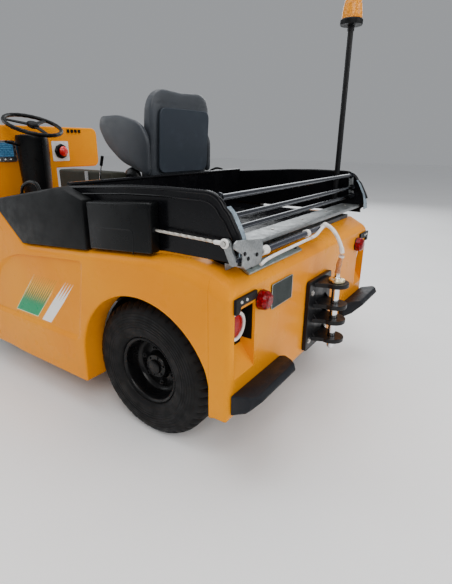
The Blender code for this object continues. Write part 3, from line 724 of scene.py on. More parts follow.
RECIPES = {
    "paint": lambda name: painted(name),
    "side_paint": lambda name: painted(name, decals=True),
    "plastic": lambda name: moulded(name, tuple(colours().plastic)),
    "satin_plastic": lambda name: moulded(name, shade(tuple(colours().plastic), 0.75), 0.3, 900.0, 0.0001),
    "bumper_plastic": lambda name: moulded(name, (0.010, 0.011, 0.014), 0.46, 330.0, 0.0005),
    "tray": tray_gloss,
    "zinc": lambda name: zinc(name, (0.30, 0.315, 0.32)),
    "pale_zinc": lambda name: zinc(name, (0.38, 0.47, 0.47), 0.38),
    "flange": lambda name: zinc(name, (0.40, 0.50, 0.58), 0.36),
    "chrome": lambda name: bright(name),
    "dark_chrome": lambda name: bright(name, (0.10, 0.105, 0.12), 0.12),
    "console": lambda name: moulded(name, (0.022, 0.022, 0.015), 0.5),
    "seat_shell": lambda name: moulded(name, (0.033, 0.041, 0.053), 0.4, 700.0, 0.0002),
    "dull_steel": lambda name: bright(name, (0.60, 0.58, 0.55), 0.3),
    "brass": lambda name: bright(name, (0.88, 0.76, 0.48), 0.3),
    "braid": lambda name: bright(name, (0.66, 0.62, 0.55), 0.38),
    "frame": lacquered_steel,
    "dark_rod": lambda name: lacquered_steel(name, (0.03, 0.032, 0.045), 0.2),
    "rim": lambda name: lacquered_steel(name, (0.004, 0.004, 0.0045), 0.28),
    "rubber": rubber,
    "liner": lambda name: moulded(name, (0.004, 0.004, 0.004), 0.75, 200.0, 0.0006),
    "red_lens": lambda name: lens(name, (0.40, 0.0, 0.003), 0.12),
    "dark_red_lens": lambda name: lens(name, (0.24, 0.0, 0.004), 0.03, 90.0),
    "amber_lens": lambda name: lens(name, (0.95, 0.32, 0.015), 0.15, 150.0),
    "clear_lens": lambda name: lens(name, (0.74, 0.77, 0.80), 0.0, 130.0),
    "led": lambda name: lens(name, (0.7, 0.7, 0.66), 0.15, 600.0),
    "white": lambda name: smooth_colour(name, (0.82, 0.80, 0.77), 0.3, 0.5),
    "red_knob": lambda name: smooth_colour(name, (0.72, 0.012, 0.012), 0.3, 0.6),
    "silver_panel": lambda name: bright(name, (0.62, 0.64, 0.66), 0.35),
    "blank_plate": lambda name: moulded(name, (0.030, 0.037, 0.036), 0.5, 140.0, 0.0008),
    "vinyl": vinyl,
    "sleeve": sleeve,
    "screen": screen,
    "tread_plate": tread_plate,
}


def surface(finish):
    """The material of one finish, made the first time it is asked for."""
    name = "tug_" + finish
    return bpy.data.materials.get(name) or RECIPES[finish](name)


# ---------------------------------------------------------------- wheels

WHEEL_R = 0.335
ARCH_X = 0.474
AXLES = (("rear", 0.505, 0.645, ARCH_X), ("front", 2.50, 0.621, 2.50))  # axle x, wheel y, arch x


def tyre_shape(axle_x, wheel_y, side):
    """Section spun about the axle.  Near the tread the radius drops by d (lateral cuts + ring grooves),
    the cuts being where cos(46 a) is near one and |h| is large; on the walls h carries fine ribs."""
    half = [(0.1652, 0.072), (0.172, 0.084), (0.190, 0.0925), (0.225, 0.0950), (0.262, 0.0945)]
    half += [(0.291, 0.0895), (0.313, 0.0795), (0.3285, 0.063), (0.335, 0.044)]
    half = np.array(half)
    loop = np.concatenate([half * (1, -1), half[::-1]])
    section = dense(bent(loop, 0.008, 3), 0.0062)
    lugs = sizes().lugs
    turn = np.arange(lugs * 5) * TAU / (lugs * 5)
    radius, tall = section[:, 0, None], section[:, 1, None]
    reach = np.abs(tall)
    crown = step_up(radius, 0.300, 0.318)
    cuts = step_up(np.cos(lugs * turn + 1.3 * np.sign(tall)), 0.30, 0.85) * step_up(reach, 0.034, 0.046)
    rings = np.exp(-((reach - 0.026) / 0.0035) ** 2)
    radius = radius - crown * (sizes().lug_depth * cuts + 0.007 * rings)
    wall = step_up(reach, 0.080, 0.090) * step_up(radius, 0.185, 0.20) * (1 - step_up(radius, 0.285, 0.30))
    rib = 0.0013 * np.cos(radius * TAU / 0.0135) + 0.0016 * np.exp(-((radius - 0.245) / 0.004) ** 2)
    tall = tall + np.sign(tall) * wall * rib + 0 * turn
    radius = radius + 0 * turn
    points = np.stack(
        [axle_x + radius * np.sin(turn), side * wheel_y + tall, WHEEL_R + radius * np.cos(turn)], -1
    )
    return points.reshape(-1, 3), grid(len(section), len(turn), closed=True)


def rim_shape(axle_x, wheel_y, side):
    """Deep dish spun about the axle, with two rings of nuts repeated at equal angles."""
    profile = [
        (0.0, 0.044), (0.026, 0.043), (0.034, 0.038), (0.037, 0.026), (0.056, 0.024), (0.061, 0.019),
        (0.064, 0.004), (0.072, -0.004), (0.104, -0.006), (0.116, -0.011), (0.127, -0.010), (0.138, 0.0),
        (0.1425, 0.012), (0.144, 0.050), (0.1465, 0.066), (0.151, 0.074), (0.158, 0.0775), (0.163, 0.0755),
        (0.1645, 0.070), (0.1645, -0.070), (0.162, -0.076), (0.152, -0.076), (0.145, -0.066),
        (0.142, -0.026), (0.055, -0.026), (0.0, -0.026),
    ]
    centre = np.array([axle_x, side * wheel_y, WHEEL_R])
    disc = turned(sided(profile, side), 84, centre, "Y")
    nut = [(0.0, 0.025), (0.0055, 0.025), (0.0055, 0.0175), (0.0115, 0.0175), (0.0138, 0.0145)]
    nut += [(0.0138, 0.002), (0.019, 0.002), (0.019, 0.0), (0.0, 0.0)]
    nut = turned(sided(nut, side), 6, axis="Y")
    bolt = [(0.0, 0.007), (0.005, 0.007), (0.0062, 0.0055), (0.0062, 0), (0, 0)]
    bolt = turned(sided(bolt, side), 6, axis="Y")
    wide, narrow = circle(0.089, 6, 0.3), circle(0.047, 6, 0.8)
    nuts = repeated(nut, np.stack([wide[:, 0], np.full(6, side * -0.006), wide[:, 1]], 1) + centre)
    bolts = repeated(bolt, np.stack([narrow[:, 0], np.full(6, side * 0.0235), narrow[:, 1]], 1) + centre)
    return disc, together(nuts, bolts)


def make_wheels():
    for word, side in SIDES:
        for end, axle_x, wheel_y, _ in AXLES:
            name = word + "_" + end
            body = name + "_wheel"
            tyre = tyre_shape(axle_x, wheel_y, side)
            piece(name + "_tread", tyre, "rubber", body, [name + "_tyre"], angle=50)
            disc, nuts = rim_shape(axle_x, wheel_y, side)
            piece(name + "_dish", disc, "rim", body, [name + "_rim"])
            piece(name + "_nuts", nuts, "frame", body, angle=20)


def make_arch_shade_liners():
    """Dark arch liners, black as painted shade for the dark inside of each arch: a flat strip carried round
    an arc over each wheel.
    """
    for word, side in SIDES:
        for end, _, _, arch_x in AXLES:
            start = 150 if end == "rear" else 172
            over = arc((arch_x, WHEEL_R), 0.379, 8, start, 40)
            path = laid(over, side * 0.607, "XZ")
            strip = oblong((-0.064, -0.003), (0.064, 0.003), 0.002, 1)
            piece("%s_%s_liner" % (word, end), carried(strip, path), "liner")


# ---------------------------------------------------------------- bodywork

HALF_WIDTH = 0.795
SKIN = 0.12
ARCH_R = 0.388
JOINT_X = 0.1004  # where the side panels meet the rear block
DECK_SLOPE = 0.52  # rise per metre of the sloping edge above the rear face
TOP_SLOPE = 0.194  # rise per metre of the side panel's top just ahead of the joint


def side_outline():
    """Side panel seen from the side: rear arch, sill, slanted front edge and falling top edge."""
    rise = math.degrees(math.acos((ARCH_X - JOINT_X) / ARCH_R))
    arch = arc((ARCH_X, WHEEL_R), ARCH_R, 180 - rise, 0, 30)
    corners = [(1.78, 0.186), (1.80, 0.21), (1.80, 0.42), (1.515, 1.045), (1.497, 1.038), (1.269, 0.848)]
    corners += [(0.76, 0.885), (0.33, 0.920), (0.20, 0.9215), (JOINT_X, 0.9022)]
    reach = [0.012, 0.012, 0.07, 0.008, 0.008, 0.05, 0.01, 0.01, 0.03, 0.0003]
    lower = [(0.862, 0.186)]
    points = np.concatenate([arch, lower, corners])
    reach = np.concatenate([np.full(len(arch), 0.001), [0.015], reach])
    return dense(bent(points, reach, 4), 0.018)


def side_edge(x):
    """Edge radius along the top of the side: wide at the rear corner, narrower over the arch."""
    return 0.072 - (0.072 - sizes().shoulder) * step_up(x, 0.20, 0.42)


def shoulder(loop):
    """Edge radius round the side panel: large along the top, small in the arch and at the joints."""
    x, z = loop[:, 0], loop[:, 1]
    top = step_up(z, 0.76, 0.82) * (1 - step_up(x, 1.22, 1.32))
    from_hub = np.hypot(x - ARCH_X, z - WHEEL_R)
    arch = 1 - step_up(from_hub, 0.392, 0.41)
    front = step_up(x, 1.45, 1.55)
    edge = 0.006 + (side_edge(x) - 0.006) * top + 0.004 * arch * (z > 0.2) + 0.012 * front
    kernel = np.ones(5) / 5
    padded = np.concatenate([edge[-2:], edge, edge[:2]])
    smooth = np.convolve(padded, kernel, "valid")
    joint = x < JOINT_X + 0.0004
    smooth = np.where(z > 1.0, 0.003, smooth)
    smooth = np.where(z < 0.70, np.minimum(smooth, 0.0004 + 0.5 * np.maximum(x - JOINT_X, 0)), smooth)
    smooth[joint] = np.where(z[joint] > 0.90, side_edge(JOINT_X), 0.0004)
    return smooth


def closed_joint(points, loop, side):
    """Makes the slab's rings end flat on the joint plane: x is held there, and each point of the joint
    stays inside the quarter-round y = h - e + sqrt(e^2 - (e - t)^2) at depth t below the top."""
    joint = np.flatnonzero(loop[:, 0] < JOINT_X + 0.0004)
    top = joint[np.argmax(loop[joint, 1])]
    edge = side_edge(JOINT_X)
    left = edge - np.clip(loop[top, 1] - loop[joint, 1], 0, edge)
    widest = HALF_WIDTH - edge + np.sqrt(edge * edge - left * left)
    rings = points.reshape(-1, len(loop), 3)
    rings[:, top, 2] -= TOP_SLOPE * (rings[:, top, 0] - JOINT_X)
    rings[:, joint, 0] = JOINT_X
    for ring in rings:
        corner = ring[top].copy()
        ring[joint, 1] = side * np.minimum(side * ring[joint, 1], widest)
        ring[joint[ring[joint, 2] > corner[2]]] = corner
        ring[top] = corner
    return rings.reshape(-1, 3)


def inside(places, loop):
    """Even-odd test: a place is inside where a ray along +X crosses the loop an odd number of times."""
    x, y = places[:, 0, None], places[:, 1, None]
    ahead = np.roll(loop, -1, 0)
    spans = (loop[:, 1] > y) != (ahead[:, 1] > y)
    rise = np.where(loop[:, 1] == ahead[:, 1], 1.0, ahead[:, 1] - loop[:, 1])
    meets = loop[:, 0] + (ahead[:, 0] - loop[:, 0]) * (y - loop[:, 1]) / rise
    return (spans & (meets > x)).sum(1) % 2 == 1


def between(outer, inner):
    """Triangles over the flat area between two loops, by constrained Delaunay triangulation."""
    places = np.concatenate([outer, inner])
    first, second = np.arange(len(outer)), len(outer) + np.arange(len(inner))
    edges = np.concatenate([np.stack([k, np.roll(k, -1)], 1) for k in (first, second)])
    made, _, faces, source, _, _ = delaunay_2d_cdt(
        [Vector(place) for place in places.tolist()], edges.tolist(), [], 0, 1e-6
    )
    middles = np.array([np.mean([made[k] for k in face], axis=0) for face in faces])
    keep = inside(middles, outer) & ~inside(middles, inner)
    return [[source[k][0] for k in face] for face, kept in zip(faces, keep) if kept]


def side_panel(side):
    """The outline as a slab with a changing edge radius; its outer face is pressed in by d (3t^2 - 2t^3)
    across a border that is narrow along the top and wide elsewhere, and triangulated round it."""
    loop = ccw(side_outline())
    edge = shoulder(loop)
    low, high = side * (HALF_WIDTH - SKIN), side * HALF_WIDTH
    points, faces = slab(loop, low, high, 0.003, "XZ", 6, far_edge=edge)
    points = closed_joint(np.array(points), loop, side)
    faces = faces[:-1]
    rim = np.arange(len(points) - len(loop), len(points))
    corners = [(0.886, 0.40), (1.71, 0.40), (1.56, 0.71), (1.36, 0.782), (0.802, 0.830)]
    ring = ccw(dense(bent(corners, [0.05, 0.05, 0.10, 0.10, 0.03], 6), 0.03))
    top = step_up(ring[:, 1], 0.72, 0.78) * step_up(ring[:, 0], 0.81, 0.835)
    border = 0.030 - 0.025 * top
    inner = inset(ring, border)
    rows = []
    for share in np.linspace(0, 1, 8):
        depth = sizes().recess * share * share * (3 - 2 * share)
        rows.append(laid(ring + (inner - ring) * share, side * (HALF_WIDTH - depth), "XZ"))
    recess = np.array(rows)
    start = len(points)
    count = len(ring)
    faces += (np.array(grid(len(rows), count)) + start).tolist()
    faces.append(list(range(start + (len(rows) - 1) * count, start + len(rows) * count)))
    links = np.concatenate([rim, np.arange(start, start + count)])
    faces += [[int(links[k]) for k in face] for face in between(points[rim][:, [0, 2]], ring)]
    return np.concatenate([points, recess.reshape(-1, 3)]), faces


def make_side_bodies():
    for word, side in SIDES:
        piece(word + "_side_shell", side_panel(side), "side_paint", replaces=[word + "_side_body"])


def rear_block():
    """Stacked plan outlines with round rear corners.  Upper rings are the plan inset by e (1 - sin a);
    their height is c + m x less a quarter-round drop d = e - sqrt(e^2 - (e - t)^2) at distance t from
    the rear edge and from the side edges."""
    plan = [(0.0, -HALF_WIDTH), (0.10, -HALF_WIDTH), (0.10, HALF_WIDTH), (0.0, HALF_WIDTH)]
    loop = ccw(dense(bent(plan, [0.036, 0.0004, 0.0004, 0.036], 8), 0.02))
    wide = side_edge(JOINT_X)
    rings = []

    def ring(flat, height):
        rings.append(np.stack([flat[:, 0], flat[:, 1], np.broadcast_to(height, len(flat))], 1))

    def drop(distance, edge):
        left = edge - np.clip(distance, 0, edge)
        return edge - np.sqrt(edge * edge - left * left)

    low = inset(loop, 0.012 * (loop[:, 0] < 0.09))
    low[:, 0] = np.maximum(low[:, 0], 0.024)
    ring(low, 0.295)
    cut_back = loop.copy()
    cut_back[:, 0] = np.maximum(loop[:, 0], 0.018)
    ring(cut_back, 0.302)
    ring(loop, 0.334)
    ring(loop, 0.345)
    for height in np.linspace(0.40, 0.78, 8):
        ring(loop, height)
    joint = loop[:, 0] > 0.0994
    snap = 0.0008
    for angle in np.linspace(math.pi / 2, 0, 10):
        deep = wide * (1 - math.sin(angle))
        flat = inset(loop, deep)
        flat[joint] = loop[joint]
        flat[:, 0] = np.where(flat[:, 0] < deep + snap, deep, flat[:, 0])
        limit = HALF_WIDTH - deep
        outside = np.abs(flat[:, 1]) > limit - snap
        flat[:, 1] = np.where(outside, np.sign(flat[:, 1]) * limit, flat[:, 1])
        fall = drop(flat[:, 0], sizes().crease) + drop(HALF_WIDTH - np.abs(flat[:, 1]), wide)
        ring(flat, 0.85 + DECK_SLOPE * flat[:, 0] - fall)
    return capped(rings)


def make_rear_body():
    thing = piece("rear_shell", rear_block(), "paint", replaces=["rear_body"])
    niche = [(-0.06, 0.47), (0.0, 0.484), (0.065, 0.572), (0.065, 0.765), (-0.06, 0.765)]
    niche = bent(niche, 0.006, 2)
    cut(thing, together(*(slab(niche, side * 0.622, side * 0.768, 0.003) for _, side in SIDES)))
    # Black sheets on the back and inboard wall of each lamp niche: painted shade, dark linings that stand in
    # for the shadow inside the niches.
    for word, side in SIDES:
        back = [(0.626, 0.577), (0.764, 0.577), (0.764, 0.761), (0.626, 0.761)]
        back = slab(bent([(side * y, z) for y, z in back], 0.004, 2), 0.0646, 0.0626, 0.0006, "YZ", 2)
        wall = slab(
            oblong((0.012, 0.600), (0.061, 0.761), 0.003, 2), side * 0.6224, side * 0.6244, 0.0006, "XZ",
            2
        )
        piece(word + "_niche_shade_sheet", together(back, wall), "liner")
    if sizes().number_plate:
        plate = slab(oblong((0.312, 0.690), (0.498, 0.797), 0.006, 3), -0.0065, 0.0, 0.0015, "YZ", 2)
        piece("blank_plate", plate, "blank_plate")
        rim_path = laid(oblong((0.312, 0.690), (0.498, 0.797), 0.006, 3), -0.006, "YZ")
        piece("plate_rim", tube(rim_path, 0.0016, 6, (1.0, 0.0, 0.0), closed=True), "pale_zinc")


def make_front_body():
    softened("front_body", "paint", 0.014, 4)
    softened("cowl", "paint", 0.003, 2)
    softened("bonnet", "paint", 0.010, 3)
    for word, side in SIDES:
        rod = tube(laid(np.array([(2.452, 0.944), (3.02, 0.919)]), side * 0.45, "XZ"), 0.004, 8)
        piece(word + "_bonnet_bead", rod, "paint", "bonnet")


# ---------------------------------------------------------------- tray, rails and ledge

def wall_outline():
    points = arc((0.02, 0.945), 0.021, -30, 75, 5).tolist() + [(0.006, 0.990), (0.018, 1.036), (0.058, 1.107)]
    points += arc((0.155, 1.085), 0.090, 155, 92, 7).tolist()
    points += [(0.35, 1.176), (0.54, 1.170), (0.955, 1.140), (0.955, 0.9275)]
    return np.array(points)


def make_tray():
    refinished("rear_deck", "tray")
    refinished("tray_front_wall", "tray")
    rim = [(0.012, 1.02), (0.022, 1.043), (0.060, 1.108)]
    rim += arc((0.155, 1.085), 0.086, 155, 92, 8).tolist()
    rim += [(0.35, 1.172), (0.54, 1.166), (0.947, 1.137)]
    rim = eased(rim, 0.02, 4)
    for word, side in SIDES:
        name = "tray_%s_wall" % word
        wall = slab(wall_outline(), side * 0.7152, side * 0.7348, 0.003)
        piece(name + "_sheet", wall, "tray", replaces=[name])
        piece(name + "_rim", tube(laid(rim, side * 0.7255, "XZ"), sizes().rim_tube, 14), "tray")
        bead = rim[3:] + (0.012, -0.026)
        piece(name + "_bead", tube(laid(bead, side * 0.7345, "XZ"), 0.0042, 8), "tray")
        slope = [(0.006, 0.962), (0.009, 0.992), (0.018, 1.038), (0.057, 1.110), (0.074, 1.128)]
        slope = eased(slope, 0.02, 4)
        count = len(slope)
        wide = np.linspace(0.030, 0.014, count)[:, None, None]
        strip = oblong((-1.0, -0.1), (1.0, 0.1), 0.06, 2)
        strip = strip[None] * wide
        piece(name + "_flange", carried(strip, laid(slope, side * 0.706, "XZ")), "flange")
    lip = slab(oblong((0.930, 1.146), (0.962, 1.162), 0.008, 4), -0.714, 0.714, 0.002)
    piece("tray_front_rim", lip, "tray")


def make_rails():
    """Three bars across the tray's open rear, each a tube with flanged ends, on two end straps."""
    parts = []
    flange = [(0, 0.7), (0.019, 0.7), (0.019, 0.704), (0.013, 0.7055), (0.013, 0.712), (0, 0.712)]
    for x, z in ((0.115, 1.155), (0.10, 1.083), (0.10, 1.034)):
        ends = [turned(sided(flange, side), 20, (x, 0, z), "Y") for side in (1, -1)]
        bar = tube([(x, y, z) for y in np.linspace(-0.708, 0.708, 9)], 0.011, 20, (1.0, 0.0, 0.0))
        parts += [bar, *ends]
    piece("rail_bars", together(*parts), "dark_chrome", replaces=["rear_rails"])
    strap = bent([(0.085, 1.02), (0.115, 1.02), (0.128, 1.15), (0.102, 1.15)], 0.006, 3)
    straps = together(*(slab(strap, side * 0.702, side * 0.712, 0.0015) for side in (1, -1)))
    piece("rail_straps", straps, "zinc")


def make_ledge():
    """Folded sheet: a flat profile with a rolled front lip and a riser, carried across the tray."""
    outline = [(0.046, 0.9655), (0.0495, 0.9655), (0.0495, 0.9712), (0.150, 0.9712), (0.150, 0.9244)]
    outline += [(0.160, 0.9244), (0.160, 0.9815), (0.046, 0.9815)]
    shape = slab(bent(outline, 0.003, 3), -0.713, 0.713, 0.001)
    piece("ledge_sheet", shape, "zinc", replaces=["rear_ledge"])
    heads = screw((0.0, 0.0, 0.0), 0.0065, "Z")
    places = [(0.105, y, 0.9813) for y in (-0.62, -0.31, 0.0, 0.31, 0.62)]
    piece("ledge_screws", repeated(heads, places), "dull_steel", angle=20)


# ---------------------------------------------------------------- hand release

def make_release():
    cable_path = dense(np.array([(0.372, 0.769, 1.02), (0.062, 0.7652, 1.0105)]), 0.0026, closed=False)
    count = len(cable_path)
    turn = np.arange(24) * TAU / 24
    along = np.arange(count)[:, None] * 0.0026
    lay = 1 + 0.16 * np.cos(6 * turn - along * TAU / 0.030)
    section = np.stack([0.0052 * lay * np.cos(turn), 0.0052 * lay * np.sin(turn)], -1)
    piece("braided_cable", carried(section, cable_path), "braid", replaces=["release_cable"], angle=60)
    collar = [(0.0, 0.0), (0.009, 0.0), (0.011, 0.004), (0.011, 0.016), (0.008, 0.020), (0.0, 0.020)]
    points, faces = turned(collar, 20, (0.366, 0.769, 1.0198), "X")
    piece("cable_gland", (points, faces), "plastic")
    eye = tube(laid(circle(0.0125, 24), 0.7652, "XZ") + (0.050, 0, 1.010), 0.0058, 12, closed=True)
    socket = [(0, 0), (0.0062, 0), (0.0085, 0.006), (0.0085, 0.026), (0.006, 0.032), (0, 0.032)]
    socket = turned(socket, 20, (0.062, 0.7652, 1.0106), "X")
    pin = [(0, -0.013), (0.0058, -0.013), (0.0062, 0.008), (0.009, 0.008), (0.009, 0.012), (0, 0.012)]
    pin = turned(pin, 16, (0.050, 0.765, 1.010), "Y")
    piece("cable_eye", together(eye, socket), "white")
    piece("eye_pin", pin, "dull_steel")
    shaft = [
        (0, -0.030), (0.009, -0.030), (0.0135, -0.026), (0.0135, 0.535), (0.0115, 0.540), (0.0115, 0.752),
        (0, 0.752),
    ]
    shaft = turned(shaft, 28, (0.02, 0.0, 0.945), "Y")
    crank = [(0.004, 0.933), (0.032, 0.927), (0.068, 1.004), (0.064, 1.020), (0.050, 1.027), (0.036, 1.020)]
    crank = slab(bent(crank, 0.012, 4), 0.7432, 0.7552, 0.002)
    piece("shaft_bar", shaft, "dark_rod", "release_shaft", ["release_shaft"])
    piece("shaft_crank", crank, "zinc", "release_shaft")
    fitting = [
        (0, 0), (0.0145, 0), (0.0185, 0.004), (0.0185, 0.022), (0.0155, 0.026), (0.0155, 0.034),
        (0.0175, 0.037), (0.0175, 0.047), (0, 0.047)
    ]
    left = turned(fitting, 24, (0.02, 0.512, 0.945), "Y")
    right = turned(sided(fitting, -0.6), 24, (0.02, 0.150, 0.945), "Y")
    piece("shaft_fittings", together(left, right), "white", "release_shaft")
    conduit = [(-0.002, 0.596, 0.905), (-0.003, 0.56, 0.916), (-0.003, 0.46, 0.921), (-0.003, 0.150, 0.926)]
    piece("shaft_conduit", tube(eased(conduit, 0.03), 0.0068, 14, (1.0, 0.0, 0.0)), "white")
    root = [(-0.003, 0.130, 0.926), (-0.003, 0.07, 0.930), (-0.004, 0.03, 0.946), (-0.010, 0.006, 0.962)]
    piece("hose_root", tube(eased(root, 0.03), 0.0078, 14, (1.0, 0.0, 0.0)), "white", "release_shaft")
    arm = [(0.002, 0.0, 0.957), (-0.014, 0.0, 0.971), (-0.040, 0.0, 0.962), (-0.062, 0.0, 0.944)]
    arm += [(-0.082, 0.0, 0.918), (-0.097, 0.0, 0.891), (-0.107, 0.0, 0.866), (-0.112, 0.0, 0.843)]
    arm = eased(arm, 0.012, 4)
    along = np.linspace(0, 1, len(arm))
    radius = 0.0098 + 0.0035 * np.exp(-((along - 0.10) / 0.05) ** 2) + 0.0022 * step_up(along, 0.86, 0.9)
    piece("lift_hose", tube(arm, radius, 20), "white", "release_shaft", ["lift_arm"])
    strap = [(-0.100, 0.0, 0.742), (-0.1015, 0.0, 0.765), (-0.104, 0.0, 0.790)]
    strap += [(-0.108, 0.0, 0.812), (-0.112, 0.0, 0.833)]
    strap = dense(strap, 0.004, closed=False)
    height = np.linspace(0, 1, len(strap))
    radius = 0.0115 + 0.0015 * np.cos(height * TAU * 2) + 0.002 * (1 - height)
    piece("lift_sleeve", tube(strap, radius, 18), "sleeve", "tow_pin", ["lift_strap"])
    ferrule = tube(strap[-4:], [0.0125, 0.0138, 0.0138, 0.012], 18)
    piece("sleeve_ferrule", ferrule, "white", "tow_pin")


def make_bracket():
    softened("shaft_bracket", "zinc", 0.0012, 2)
    bolt_places = ((-0.009, 0.724, 0.974), (-0.009, 0.700, 0.952), (-0.009, 0.640, 0.955))
    bolts = [screw(place, 0.0062, "X", -1) for place in bolt_places]
    piece("bracket_bolts", together(*bolts), "frame", angle=20)
    softened("guide_bar", "pale_zinc", 0.002, 3)
    rise = math.atan(DECK_SLOPE)
    ends = []
    for y in (0.205, 0.600):
        points, faces = screw((0, 0, 0), 0.0085, "Z")
        points = lean(points, -math.degrees(rise), (0, 0, 0))
        ends.append((points + (0.044, y, 0.8895), faces))
    piece("guide_bolts", together(*ends), "frame", angle=20)


# ---------------------------------------------------------------- tow hitch

def make_hitch():
    back = oblong((-0.14, 0.341), (0.14, 0.712), 0.022, 5)
    piece("hitch_plate", slab(back, -0.0005, -0.022, 0.0035, "YZ", 3), "frame", replaces=["tow_hitch"])
    tongue = [(-0.012, -0.085), (-0.012, 0.085)] + arc((-0.10, 0.0), 0.062, 70, 290, 24).tolist()
    levels = (0.395, 0.495, 0.575, 0.685)
    jaws = together(*(slab(tongue, level - 0.011, level + 0.011, 0.003, "XY", 3) for level in levels))
    jaw = piece("hitch_tongues", jaws, "frame")
    cut(jaw, turned([(0, 0.35), (0.0215, 0.35), (0.0215, 0.74), (0, 0.74)], 36, (-0.10, 0, 0)))
    heads = [screw((-0.0215, y, z), 0.0115, "X", -1) for y in (0.105, -0.105) for z in (0.395, 0.648)]
    piece("hitch_bolts", together(*heads), "dull_steel", angle=20)
    ribs = [
        slab(bent([(-0.022, z), (-0.040, z), (-0.022, z + 0.02)], 0.002, 2), y - 0.004, y + 0.004, 0.001)
        for y in (0.07, -0.07) for z in (0.406, 0.506, 0.586)
    ]
    piece("hitch_gussets", together(*ribs), "frame")
    pin = [
        (0.0, 0.741), (0.010, 0.741), (0.0125, 0.737), (0.0125, 0.7215), (0.016, 0.719), (0.0175, 0.715),
        (0.0185, 0.7085), (0.0185, 0.6965), (0.0185, 0.350), (0.014, 0.338), (0.0, 0.335),
    ]
    piece("pin_bar", turned(pin, 40, (-0.10, 0, 0)), "chrome", "tow_pin", ["tow_pin"])
    collar = [
        (0.0192, 0.6966), (0.037, 0.6966), (0.040, 0.699), (0.040, 0.707), (0.037, 0.712), (0.0192, 0.716)
    ]
    points, faces = turned(collar + [collar[0]], 40, (-0.10, 0, 0))
    piece("pin_collar", (points, faces[:-2]), "brass", "tow_pin")


# ---------------------------------------------------------------- bumpers, guards and release box

def make_mouldings():
    for word, side in SIDES:
        softened(word + "_rear_bumper", "bumper_plastic", 0.007, 3)
        softened(word + "_guard", "plastic", 0.006, 2, 25)
        loop = np.array([(1.10, 1.108), (1.12, 1.150), (1.18, 1.156), (1.245, 1.128), (1.262, 1.080)])
        loop = eased(laid(loop, side * 0.765, "XZ"), 0.03)
        piece(word + "_grab_loop", tube(loop, 0.008, 14), "satin_plastic")
    softened("front_bumper", "bumper_plastic", 0.010, 3)
    softened("release_box", "satin_plastic", 0.006, 3)
    fold = np.array([(0.475, 0.912), (0.470, 1.010), (0.70, 0.998)])
    fold = eased(laid(fold, HALF_WIDTH - 0.004, "XZ"), 0.02)
    piece("box_bead", tube(fold, 0.0022, 8, (0.0, 1.0, 0.0)), "satin_plastic")


# ---------------------------------------------------------------- lamps, beacon and headlamps

def facing_rear(profile, steps, x, y, z):
    """A profile of (radius, reach) spun about X, its reach towards the rear."""
    return turned([(r, -h) for r, h in profile], steps, (x, y, z), "X")


def make_lamps():
    for word, side in SIDES:
        y = side * 0.695
        bowl = [
            (0, -0.015), (0.058, -0.015), (0.0615, -0.010), (0.0615, 0.010), (0.059, 0.0145),
            (0.0545, 0.0155), (0.0475, 0.013), (0.047, 0.004), (0, 0.004)
        ]
        ring = facing_rear(bowl, 48, 0.049, y, 0.675)
        piece(word + "_lamp_ring", ring, "white", replaces=[word + "_tail_lamp"])
        dome = [
            (0, 0.0165), (0.018, 0.0160), (0.034, 0.0140), (0.044, 0.0105), (0.0468, 0.006),
            (0.0468, 0.002), (0, 0.002)
        ]
        piece(word + "_lamp_lens", facing_rear(dome, 48, 0.049, y, 0.675), "red_lens")
        strip = [
            (0.628, 0.782), (0.742, 0.782), (0.750, 0.757), (0.778, 0.757), (0.778, 0.817), (0.628, 0.817)
        ]
        strip = bent([(side * a, b) for a, b in strip], 0.006, 3)
        strip = slab(strip, -0.0005, -0.012, 0.0025, "YZ", 3)
        piece(word + "_marker_strip", strip, "plastic", replaces=[word + "_marker_lamp"])
        bead = [(0, 0.005), (0.005, 0.004), (0.0065, 0.001), (0.0065, 0), (0, 0)]
        leds = [facing_rear(bead, 20, -0.0118, side * led_y, 0.800) for led_y in (0.742, 0.706)]
        piece(word + "_marker_leds", together(*leds), "led")
        base = [(0, 0), (0.038, 0), (0.038, 0.008), (0.036, 0.010), (0, 0.010)]
        piece(word + "_dome_base", facing_rear(base, 32, -0.0006, side * 0.585, 0.762), "plastic")
        cup = [(0, 0.046), (0.020, 0.0455), (0.031, 0.040), (0.039, 0.029), (0.042, 0.006), (0, 0.006)]
        cup = facing_rear(cup, 14, -0.0006, side * 0.585, 0.762)
        piece(word + "_dome_lens", cup, "dark_red_lens", angle=12)
        front = 3.121
        shell = [
            (0, 0.0), (0.070, 0.0), (0.070, 0.022), (0.066, 0.028), (0.060, 0.026), (0.058, 0.016),
            (0, 0.012)
        ]
        bezel = turned(shell, 48, (front, side * 0.58, 0.66), "X")
        piece(word + "_headlamp_bezel", bezel, "plastic", replaces=[word + "_headlamp"])
        glass = [
            (0, 0.028), (0.025, 0.0265), (0.045, 0.0225), (0.0575, 0.0165), (0.0575, 0.0125), (0, 0.0125)
        ]
        piece(word + "_headlamp_glass", turned(glass, 48, (front, side * 0.58, 0.66), "X"), "clear_lens")


